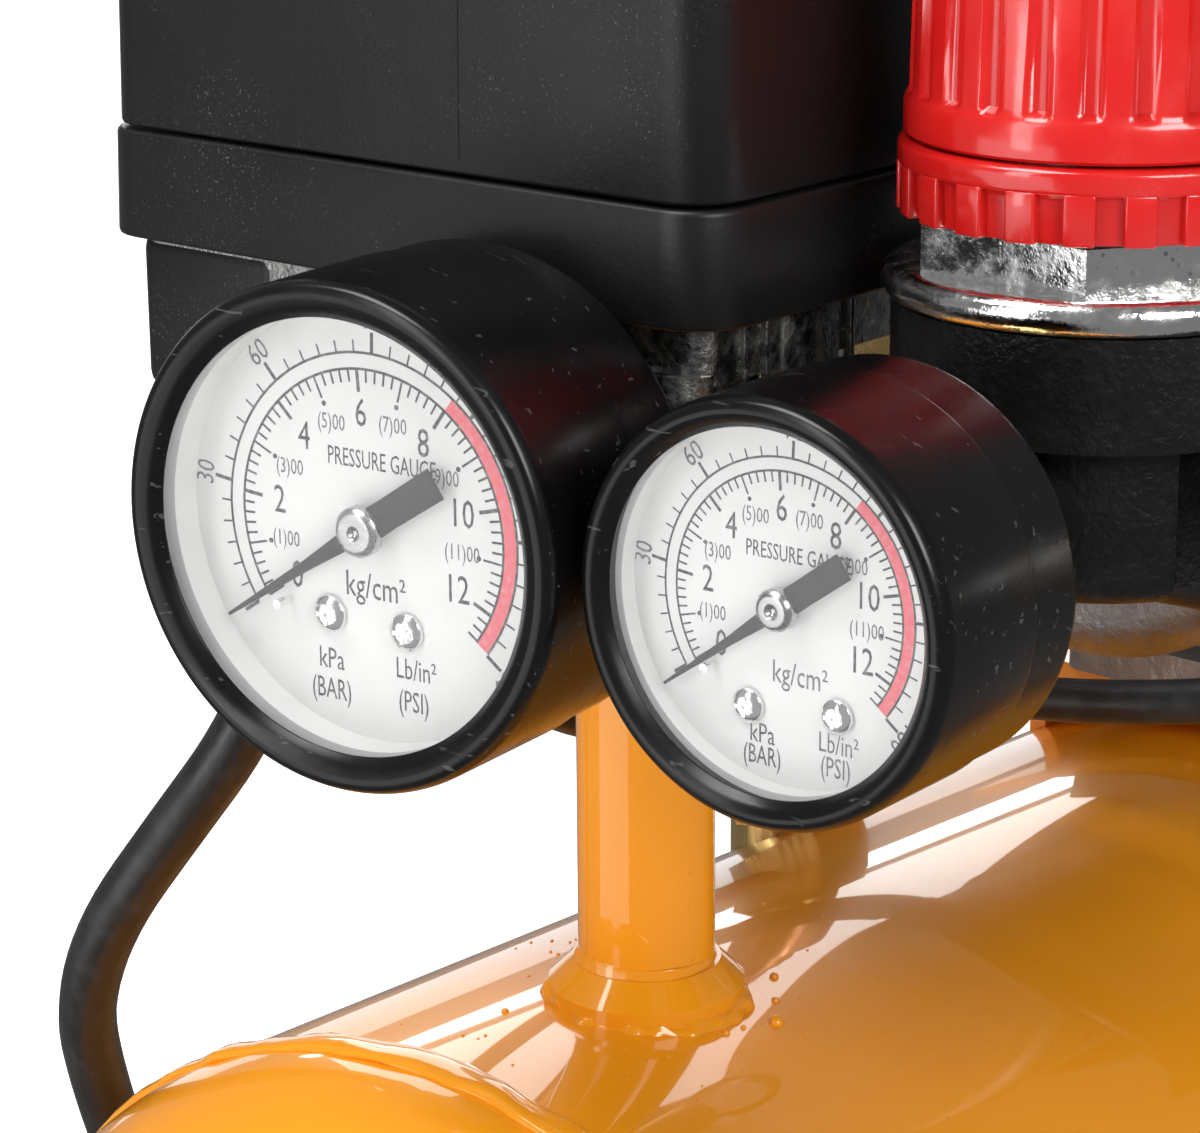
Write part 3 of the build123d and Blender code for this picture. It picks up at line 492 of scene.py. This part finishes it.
COIL = Vector((-0.040, 0.200, 0))
LOW_TURN, HIGH_TURN = 0.0041, 0.0121
INNER, MIDDLE, OUTER = 0.036, 0.044, 0.052
TURN_STEPS = 18


def coil_turns():
    """Three turns inwards on the floor, then two outwards on top of them."""
    stops = [(0, OUTER, LOW_TURN), (300, OUTER, LOW_TURN), (360, MIDDLE, LOW_TURN),
             (660, MIDDLE, LOW_TURN), (720, INNER, LOW_TURN), (960, INNER, LOW_TURN),
             (1020, INNER, HIGH_TURN), (1260, INNER, HIGH_TURN), (1320, MIDDLE, HIGH_TURN),
             (1620, MIDDLE, HIGH_TURN), (1680, OUTER, HIGH_TURN), (1800, OUTER, HIGH_TURN)]
    turns = []
    for step in range(5 * TURN_STEPS + 1):
        angle = step * 360 / TURN_STEPS
        for (a, r, z), (b, s, y) in zip(stops, stops[1:]):
            if a <= angle <= b:
                t = (angle - a) / (b - a)
                t = t * t * (3 - 2 * t)
                radius = (r + (s - r) * t) / cos(pi / TURN_STEPS) ** 0.5
                turns.append(COIL + Vector((radius * cos(radians(angle - 90)),
                                            radius * sin(radians(angle - 90)),
                                            z + (y - z) * t)))
                break
    return turns


MAINS_ROUTE = [
    (-0.16007, 0.04733, 0.3129), (-0.1612, 0.048, 0.297), (-0.1655, 0.0525, 0.282),
    (-0.172, 0.060, 0.2685), (-0.1765, 0.069, 0.2545), (-0.1755, 0.0765, 0.240),
    (-0.1685, 0.083, 0.225), (-0.160, 0.0885, 0.208), (-0.154, 0.095, 0.187),
    (-0.151, 0.101, 0.162), (-0.149, 0.104, 0.132), (-0.147, 0.106, 0.099),
    (-0.143, 0.109, 0.066), (-0.139, 0.114, 0.042), (-0.130, 0.122, 0.023),
    (-0.116, 0.131, 0.0105), (-0.098, 0.138, 0.005), (-0.078, 0.1435, 0.0041),
    (-0.056, 0.147, 0.0041)]
PLUG_RUN = [(-0.024, 0.148, 0.0123), (-0.006, 0.148, 0.0135), (0.010, 0.148, 0.014),
            (0.024, 0.148, 0.014)]
LEAD_ROUTE = [
    (-0.13311, 0.04889, 0.3129), (-0.133, 0.0488, 0.2984), (-0.1275, 0.0477, 0.285),
    (-0.1171, 0.0457, 0.2749), (-0.1037, 0.043, 0.2697), (-0.0896, 0.037, 0.2697),
    (-0.078, 0.0272, 0.2712), (-0.0715, 0.014, 0.2735), (-0.071, -0.001, 0.2755),
    (-0.069, -0.016, 0.2775), (-0.062, -0.031, 0.2795), (-0.0505, -0.043, 0.2835),
    (-0.038, -0.052, 0.2905), (-0.024, -0.060, 0.300), (-0.009, -0.065, 0.309),
    (0.006, -0.066, 0.312)]

mains = spline("mains_cable", MAINS_ROUTE + [tuple(p) for p in coil_turns()] + PLUG_RUN, 0.004)
lead = spline("motor_cable", LEAD_ROUTE, 0.0031)
for cord, slot in ((mains, "rubber"), (lead, "rubber")):
    cord.data.materials.append(SLOT[slot].material)
    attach(cord, "frame")
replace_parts(mains, "mains_cord", "cord_coil")
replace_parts(lead, "motor_lead")


mains_line, lead_line = centre_line(mains), centre_line(lead)
reliefs = [finished("mains_relief", sleeve(mains_line, 0, 0.024, 0.0062, 0.0046), "rubber"),
           finished("lead_relief", sleeve(lead_line, 0, 0.022, 0.0052, 0.0036), "rubber")]


# ------------------------------------------------------------------ gauges
KG_STEP = 20.0          # degrees of dial to one kg/cm2
KG_ZERO = -124.5
PSI_STEP = KG_STEP * 0.070307
SCALE_END = 128.0


def on_dial(radius, angle):
    a = radians(angle)
    return Vector((radius * sin(a), radius * cos(a), 0))


def tick(bm, inner, outer, angle, width, rise):
    middle = on_dial((inner + outer) / 2, angle)
    slab(bm, width, outer - inner, rise, (middle.x, middle.y, rise / 2), turn=-angle)


def arc(bm, inner, outer, start, end, rise):
    """A flat printed arc between two dial angles."""
    corner = [bm.verts.new(on_dial(r, end) + Vector((0, 0, z)))
              for r, z in ((inner, 0), (outer, 0), (outer, rise), (inner, rise))]
    face = bm.faces.new(corner)
    bmesh.ops.spin(bm, geom=[face] + corner + list(face.edges), cent=(0, 0, 0), axis=(0, 0, 1),
                   angle=radians(end - start), steps=max(4, int((end - start) / 3)))


def words(bm, text, height, place, turn=0.0, narrow=0.8, rise=0.02):
    """Printed characters, height being that of a capital."""
    letter = bpy.data.curves.new("letter", "FONT")
    letter.body = text
    letter.size = height / 0.73
    letter.align_x = "CENTER"
    letter.align_y = "CENTER"
    letter.extrude = rise / 2
    letter.resolution_u = 2
    holder = bpy.data.objects.new("letter", letter)
    flat = bpy.data.meshes.new_from_object(holder)
    bpy.data.objects.remove(holder)
    flat.transform(Matrix.Translation((*place, rise / 2)) @ Matrix.Rotation(radians(-turn), 4, "Z")
                   @ Matrix.Diagonal((narrow, 1, 1, 1)))
    bm.from_mesh(flat)
    bpy.data.meshes.remove(flat)


def printed(scale, type_size, labels):
    """The dial's black marks, its faint marks and its red band, flat on z = 0."""
    black, faint, red = bmesh.new(), bmesh.new(), bmesh.new()
    rise = 0.02
    arc(black, 17.3, 17.6, KG_ZERO, SCALE_END, rise)
    arc(black, 19.1, 19.4, KG_ZERO, SCALE_END, rise)
    for fifth in range(64):
        angle = KG_ZERO + fifth * KG_STEP / 5
        long = 2.5 if fifth % 5 == 0 else 1.4
        heavy = 0.42 if fifth % 10 == 0 else 0.26
        tick(black, 17.4 - long, 17.4, angle, heavy, rise)
    for mark in range(0, 37):
        angle = KG_ZERO + mark * 5 * PSI_STEP
        long = 2.3 if mark % 6 == 0 else 1.3
        tick(black, 19.3, 19.3 + long, angle, 0.42 if mark % 6 == 0 else 0.22, rise)
    arc(red, 17.6, 19.1, KG_ZERO + 8 * KG_STEP, SCALE_END, rise)
    for count in range(0, 7):
        angle = KG_ZERO + 2 * count * KG_STEP
        words(black, str(2 * count), 3.3 * type_size, on_dial(12.5, angle)[:2], 0, 0.76)
    for odd in (1, 3, 5, 7, 9, 11):
        angle = KG_ZERO + odd * KG_STEP
        words(faint, f"({odd})00", 1.85 * type_size, on_dial(12.1, angle)[:2], 0, 0.7)
        dot = on_dial(14.3, angle)
        bmesh.ops.create_cone(black, cap_ends=True, segments=12, radius1=0.3, radius2=0.3,
                              depth=rise, matrix=Matrix.Translation((dot.x, dot.y, rise / 2)))
    for count in range(1, 7):
        angle = KG_ZERO + 30 * count * PSI_STEP
        words(faint, str(30 * count), 2.6 * type_size, on_dial(22.9, angle)[:2], angle, 0.78)
    for text, place, size, narrow, worn in labels:
        words(faint if worn else black, text, size * type_size, place, 0, narrow)
    for bm in (black, faint, red):
        shift(bm, Matrix.Diagonal((scale, scale, 1, 1)))
    return black, faint, red


def cross_screw(bm, place, radius, height):
    """A domed screw head with a cross cut in it."""
    head = turned(soft([(0, height), (radius * 0.6, height * 0.93), (radius, height * 0.45),
                        (radius, 0), (0, 0)], radius * 0.3), steps=40)
    for verts in (slab(head, radius * 1.1, radius * 0.24, height * 0.5, (0, 0, height * 1.02)),
                  slab(head, radius * 0.24, radius * 1.1, height * 0.5, (0, 0, height * 1.02))):
        for v in verts:
            v.co.z = height * (1.01 if v.co.z > height else 0.6)
    shift(head, Matrix.Translation(place))
    flat = bpy.data.meshes.new("screw")
    head.to_mesh(flat)
    head.free()
    bm.from_mesh(flat)
    bpy.data.meshes.remove(flat)


def needle(scale):
    """The pointer: a fine blade one way and a broad counterweight the other, from z = 0."""
    bm = bmesh.new()
    outline = [(0.18, 22.4), (0.62, 9), (1.05, 2.6), (1.9, 0.5), (1.75, -4), (1.85, -12.0),
               (-1.85, -12.0), (-1.75, -4), (-1.9, 0.5), (-1.05, 2.6), (-0.62, 9), (-0.18, 22.4)]
    face = bm.faces.new([bm.verts.new((x * scale, y * scale, 0)) for x, y in outline])
    raised = bmesh.ops.extrude_face_region(bm, geom=[face])
    bmesh.ops.translate(bm, vec=(0, 0, 0.5),
                        verts=[v for v in raised["geom"] if isinstance(v, bmesh.types.BMVert)])
    top = [e for e in bm.edges if all(v.co.z > 0.4 for v in e.verts)]
    bmesh.ops.bevel(bm, geom=top, offset=0.12, segments=2, profile=0.5, material=-1,
                    affect="EDGES")
    return bm


def dress_gauge(name, place, turn, scale, type_size, joint, pointer_turn, labels, screws):
    at = facing(place, turn)
    rim, opening = RIM_R * scale, OPENING_R * scale
    skirt = rim - 0.9
    bezel = turned(soft([
        (skirt, -joint), (rim, -joint), (rim, -1.5), (rim - 0.55, -0.35), (rim - 1.6, 0),
        (opening + 1.0 * scale, -0.55), (opening, -1.5), (opening, -1.75), (skirt, -1.75)], 0.7, 5,
        closed=True), closed=True, steps=128)
    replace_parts(finished(name + "_rim", shift(bezel, at), "gauge_black"), name + "_bezel")
    dial_z = -7.5 * scale
    liner = turned([(opening + 0.1, -3.7), (opening + 0.1, dial_z + 0.02),
                    (skirt - 1.5, dial_z + 0.02), (skirt - 1.5, -3.7)], closed=True, steps=96)
    finished(name + "_liner", shift(liner, at), "dial_print")
    black, faint, red = printed(scale, type_size, labels)
    for part, bm, finish in (("marks", black, INK), ("figures", faint, FAINT_INK),
                             ("band", red, RED_INK)):
        shift(bm, at @ Matrix.Translation((0, 0, dial_z + 0.005)))
        finished(f"{name}_{part}", bm, "dial_print", finish=finish)
    bm = bmesh.new()
    for angle, radius in screws:
        spot = on_dial(radius, angle)
        cross_screw(bm, (spot.x, spot.y, dial_z), 2.15 * sqrt(scale), 1.15)
    pin = on_dial(15.2 * scale, -131)
    rod(bm, 0.5, (pin.x, pin.y, dial_z), (pin.x, pin.y, dial_z + 2.4 * scale))
    finished(name + "_screws", shift(bm, at), "steel", finish=SLOT["chrome_plate"])
    swung = at @ Matrix.Rotation(radians(-pointer_turn), 4, "Z")
    blade = shift(needle(scale), swung @ Matrix.Translation((0, 0, dial_z + 1.6 * scale)))
    blade = finished(name + "_needle", blade, "pointer_black", name + "_pointer")
    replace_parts(blade, name + "_pointer")
    hub_z = dial_z + 1.6 * scale
    hub = turned(soft([(0, 1.1), (0.45, 1.2), (0.7, 1.75), (2.2 * scale, 1.7),
                       (2.85 * scale, 1.1), (2.85 * scale, -0.35), (0.9, -0.35), (0.9, -1.5),
                       (0, -1.5)], 0.25, 3), steps=48)
    finished(name + "_hub", shift(hub, at @ Matrix.Translation((0, 0, hub_z))), "steel",
             name + "_pointer")


GAUGE_1_WORDS = [
    ("PRESSURE GAUGE", (1.6, 7.3), 2.15, 0.62, False), ("kg/cm²", (0.4, -6.9), 3.0, 0.74, False),
    ("kPa", (-5.9, -16.0), 2.5, 0.74, False), ("(BAR)", (-6.0, -19.5), 2.5, 0.66, False),
    ("Lb/in²", (5.6, -15.5), 2.5, 0.7, False), ("(PSI)", (5.2, -19.2), 2.5, 0.66, False)]
GAUGE_2_WORDS = [
    ("PRESSURE GAUGE", (1.6, 6.6), 2.0, 0.66, False), ("kg/cm²", (2.0, -9.2), 2.8, 0.74, True),
    ("kPa", (-3.8, -18.0), 2.5, 0.74, False), ("(BAR)", (-3.8, -21.0), 2.4, 0.66, False),
    ("Lb/in²", (8.0, -17.2), 2.5, 0.7, True), ("(PSI)", (7.6, -20.4), 2.5, 0.66, True)]
dress_gauge("gauge_1", FACE_1, GAUGE_1_TURN, 1.0, 1.0, 19.0, -123.5, GAUGE_1_WORDS,
            ((-151.5, 12.1), (157.5, 12.0)))
dress_gauge("gauge_2", FACE_2, GAUGE_2_TURN, SMALL_RIM_R / RIM_R, 1.13, 17.0, -126.5,
            GAUGE_2_WORDS,
            ((-158, 12.3), (149, 12.2)))

# ------------------------------------------------------------------ regulator
reg_at = upright(REGULATOR, HEAD_TURN)


def fluted_knob():
    """Lobed barrel on a plain collar, with fine grooves that stop above the collar."""
    grooves = 24
    spread = 2 * pi / grooves
    bm = bmesh.new()
    levels = [(KNOB_FOOT, 21.7, 0), (40.0, 22.2, 0), (43.3, 22.2, 0), (44.0, 21.9, 0),
              (44.3, 21.7, 0.15), (44.9, 21.6, 1), (58, 21.35, 1), (71.5, 21.1, 1),
              (73.0, 20.4, 0.8), (KNOB_TOP, 19.0, 0.2), (KNOB_TOP, 0.01, 0)]
    loops = []
    for z, radius, cut in levels:
        ring = bmesh.ops.create_circle(bm, cap_ends=False, segments=grooves * 12, radius=radius)
        for v in ring["verts"]:
            angle = Vector((v.co.x, v.co.y)).angle_signed(Vector((1, 0)), 0)
            off = abs((angle / spread) % 1 - 0.5) * spread * radius
            depth = cut * 0.95 * max(0.0, 1 - (off / 1.25) ** 4)
            v.co.xy *= (radius - depth) / radius
            v.co.z = z
        loops.append(ring["verts"])
    for one, two in zip(loops, loops[1:]):
        both = set(one) | set(two)
        edges = [e for e in bm.edges if e.verts[0] in both and e.verts[1] in both
                 and (e.verts[0] in one) == (e.verts[1] in one)]
        bmesh.ops.bridge_loops(bm, edges=edges)
    bottom = turned([(21.7, KNOB_FOOT), (KNOB_BORE, KNOB_FOOT), (KNOB_BORE, 59.4), (4.1, 59.4),
                     (0, 59.4)], steps=96)
    return bm, bottom


knob, knob_bore = fluted_knob()
knob_piece = finished("knob", shift(knob, reg_at), "red_plastic", "regulator_knob", sharp=50)
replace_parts(knob_piece, "regulator_knob")
finished("knob_bore", shift(knob_bore, reg_at), "red_plastic", "regulator_knob")

PADS = 22
ring = turned(soft([(KNOB_BORE, 31.1), (21.7, 31.1), (21.8, 36.2), (22.8, 36.5), (22.8, 38.8),
                    (22.1, 39.3), (KNOB_BORE, 39.3)], 0.4, 3, closed=True), closed=True, steps=132)
for pad in range(PADS):
    turn = 360 / PADS * pad + 4
    a = radians(turn)
    slab(ring, 1.6, 3.5, 5.6, (22.0 * cos(a), 22.0 * sin(a), 33.9), 0.35, turn, 3)
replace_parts(finished("castle_ring", shift(ring, reg_at), "red_plastic", "lock_ring"), "lock_ring")

# ------------------------------------------------------------------ switch box
box_at = upright(SWITCH, BOX_TURN)


def tapered_box(width, length, low, high, lean, corner, top_round, steps=6):
    """A box with upright rounded corners that leans in towards its top."""
    bm = bmesh.new()
    made = bmesh.ops.create_cube(bm, size=1, matrix=Matrix.Translation(
        (width / 2, length / 2, (low + high) / 2)) @ Matrix.Diagonal(
        (width, length, high - low, 1)))
    for v in made["verts"]:
        if v.co.z > (low + high) / 2:
            v.co.x += lean if v.co.x < width / 2 else -lean
            v.co.y += lean if v.co.y < length / 2 else -lean
    posts = [e for e in bm.edges if abs(e.verts[0].co.z - e.verts[1].co.z) > 1]
    bmesh.ops.bevel(bm, geom=posts, offset=corner, segments=steps, profile=0.5, material=-1,
                    affect="EDGES")
    for edge_z, size in ((high, top_round), (low, 0.5)):
        rim = [e for e in bm.edges if all(abs(v.co.z - edge_z) < 1e-3 for v in e.verts)]
        bmesh.ops.bevel(bm, geom=rim, offset=size, segments=3, profile=0.5, material=-1,
                        affect="EDGES")
    return bm


cover = tapered_box(BOX_DEPTH, BOX_LENGTH, 0.4, BOX_HEIGHT, BOX_LEAN, 6.5, 3.0)
for v in slab(cover, 0.5, 1.2, 58, (0.18, 36.4, 31)):
    v.co.x += BOX_LEAN * v.co.z / 62      # a fine moulding line that leans with the face
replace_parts(finished("switch_lid", shift(cover, box_at), "black_plastic"), "switch_cover")
skirt = tapered_box(BOX_DEPTH + 2 * SKIRT_LIP, BOX_LENGTH + 2 * SKIRT_LIP, -SKIRT_DROP, 0.0,
                    0.25, 7.0, 0.7)
shift(skirt, Matrix.Translation((-SKIRT_LIP, -SKIRT_LIP, 0)))
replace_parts(finished("switch_band", shift(skirt, box_at), "black_plastic"), "switch_skirt")
entry = bmesh.new()
slab(entry, 57.4, 24.6, 20.6, (BOX_DEPTH / 2, 80.6, -23.3), 2.5, steps=4)
slab(entry, 50, 1.2, 17, (BOX_DEPTH / 2, 68.0, -23.5), 0.4)
finished("cable_entry", shift(entry, box_at), "black_plastic")
plate = bmesh.new()
slab(plate, 56.6, 62, 6.6, (BOX_DEPTH / 2, 37.6, -17.0), 1.0, steps=3)
for along in (10.0, 14.0, 30.0):
    slab(plate, 0.8, 1.2, 12.5, (along, 3.0, -19.6), 0.2)
slab(plate, 11, 3, 13, (22.5, 4.2, -20.2), 0.6)
rod(plate, 4.4, (5.5, 7.5, -27.0), (5.5, 7.5, -19.0))
finished("base_plate", shift(plate, box_at), "zinc")

# ------------------------------------------------------------------ tank
def puff(v, scale, seed):
    """Slow, repeatable unevenness of a hand-made surface, about -1 to 1."""
    return noise.noise(Vector(v) * scale + Vector((seed, 0, 0)))


def fillet_weld(pipe_r, rise, spread, steps=160):
    """An uneven fillet of weld metal round a pipe that stands on the tank."""
    profile = soft([(pipe_r - 0.4, rise), (pipe_r + 0.1, rise), (pipe_r + 0.9, rise * 0.45),
                    (pipe_r + spread * 0.55, rise * 0.3), (pipe_r + spread * 0.92, rise * 0.16),
                    (pipe_r + spread, -1.6), (pipe_r - 0.4, -1.6)], 1.6, 5, closed=True)
    bm = turned(profile, closed=True, steps=steps)
    for v in bm.verts:
        out = Vector((v.co.x, v.co.y, 0))
        share = min(1.0, max(0.0, (out.length - pipe_r) / spread))
        wave = 1.5 * puff(v.co, 0.13, 3) + 0.55 * puff(v.co, 0.42, 9)
        v.co += out.normalized() * wave * (0.25 + 1.1 * share)
        v.co.z += (0.55 * wave + 0.35 * puff(v.co, 0.35, 20)) * (0.5 + share)
    return bm


def on_tank(bm, x):
    """Bends a piece built on a level floor down onto the tank's round top, in millimetres."""
    for v in bm.verts:
        v.co.z += TANK_Z + sqrt(TANK_R ** 2 - v.co.y ** 2)
        v.co.x += x
    return shift(bm, Matrix.Scale(MM, 4))


riser_x = RISER[0] / MM
finished("riser_weld", on_tank(fillet_weld(PIPE_R, 6.5, 5.4), riser_x), "tank_paint", sharp=85)
spatter = bmesh.new()
draw = Random(11)
for angle, far, size in ((-70, 17.5, 0.95), (-95, 14.6, 0.45), (-84, 14.9, 0.35),
                         (-30, 17.0, 0.6), (-52, 16.2, 0.5), (150, 18.5, 0.5), (60, 17, 0.7)):
    a = radians(angle)
    bmesh.ops.create_uvsphere(spatter, u_segments=16, v_segments=10, radius=size,
                              matrix=Matrix.Translation((far * cos(a), far * sin(a), 0.0)))
for _ in range(40):
    a, far, size = draw.uniform(0, 2 * pi), draw.uniform(16, 34), draw.uniform(0.1, 0.24)
    bmesh.ops.create_uvsphere(spatter, u_segments=8, v_segments=6, radius=size,
                              matrix=Matrix.Translation((far * cos(a), far * sin(a), 0.0)))
finished("weld_spatter", on_tank(spatter, riser_x), "tank_paint", sharp=85)


def seam(x, name):
    """The bead that joins an end to the shell: a low uneven ring, built about z and turned."""
    bm = turned([(TANK_R + 1.1 * cos(t), 2.6 * sin(t)) for t in
                 [k * pi / 8 for k in range(-8, 8)]], closed=True, steps=240)
    for v in bm.verts:
        out = Vector((v.co.x, v.co.y, 0)).normalized()
        v.co += out * (0.45 * puff(v.co, 0.16, 5) + 0.2 * puff(v.co, 0.5, 8))
        v.co.z += 0.8 * puff(v.co, 0.11, 12)
    turn = Matrix.Rotation(pi / 2, 4, "Y")
    shift(bm, Matrix.Translation((x * MM, 0, TANK_Z * MM)) @ turn @ Matrix.Scale(MM, 4))
    finished(name, bm, "tank_paint", sharp=85)


seam(FRONT_SEAM, "front_seam")
seam(REAR_SEAM, "rear_seam")

# ------------------------------------------------------------------ floor and lights
floor_finish = Finish("floor_paint", (0.93, 0.93, 0.93), 0.7, Emission_Strength=0.62,
                      Emission_Color=(1, 1, 1, 1))
floor_finish.tint(floor_finish.band(floor_finish.noise(3), 0.3, 0.7, 0, 0.3), (0.95, 0.95, 0.95))
bm = bmesh.new()
bmesh.ops.create_grid(bm, x_segments=1, y_segments=1, size=12)
floor_mesh = bpy.data.meshes.new("floor")
bm.to_mesh(floor_mesh)
bm.free()
floor_mesh.materials.append(floor_finish.material)
floor = bpy.data.objects.new("floor", floor_mesh)
scene.collection.objects.link(floor)
floor.visible_glossy = False


def soft_box(name, place, target, width, height, power):
    light = bpy.data.lights.new(name, "AREA")
    light.shape = "RECTANGLE"
    light.size = width
    light.size_y = height
    light.energy = power
    box = bpy.data.objects.new(name, light)
    scene.collection.objects.link(box)
    way = Vector(place) - Vector(target)
    box.visible_camera = False
    box.matrix_world = Matrix.Translation(place) @ way.to_track_quat("Z", "Y").to_matrix().to_4x4()


HEAD = (-0.15, -0.02, 0.32)
FOOT = (-0.12, -0.025, 0.25)
soft_box("key", (-0.6, -1.6, 1.3), HEAD, 0.8, 0.8, 22)
soft_box("left", (-1.8, 0.3, 0.9), HEAD, 0.4, 1.4, 9)
soft_box("top", (-0.9, 0.4, 2.0), HEAD, 1.0, 0.8, 26)
soft_box("window", (0.96, 0.37, 1.21), FOOT, 0.2, 0.62, 3.6)
soft_box("strip", (1.05, 0.95, 0.62), FOOT, 1.3, 0.1, 2.4)
soft_box("backdrop", (1.9, 1.8, 0.1), HEAD, 2.8, 0.7, 6.2)
soft_box("low_card", (-0.96, 0.18, 0.09), REGULATOR, 0.8, 0.6, 2.2)
soft_box("floor_wash", (2.6, 2.4, 2.2), (1.4, 1.4, 0), 3.0, 2.0, 60)
world = bpy.data.worlds.new("studio")
world.use_nodes = True
world.node_tree.nodes["Background"].inputs[0].default_value = (1, 1, 1, 1)
world.node_tree.nodes["Background"].inputs[1].default_value = 0.2
scene.world = world
scene.view_settings.view_transform = "Standard"
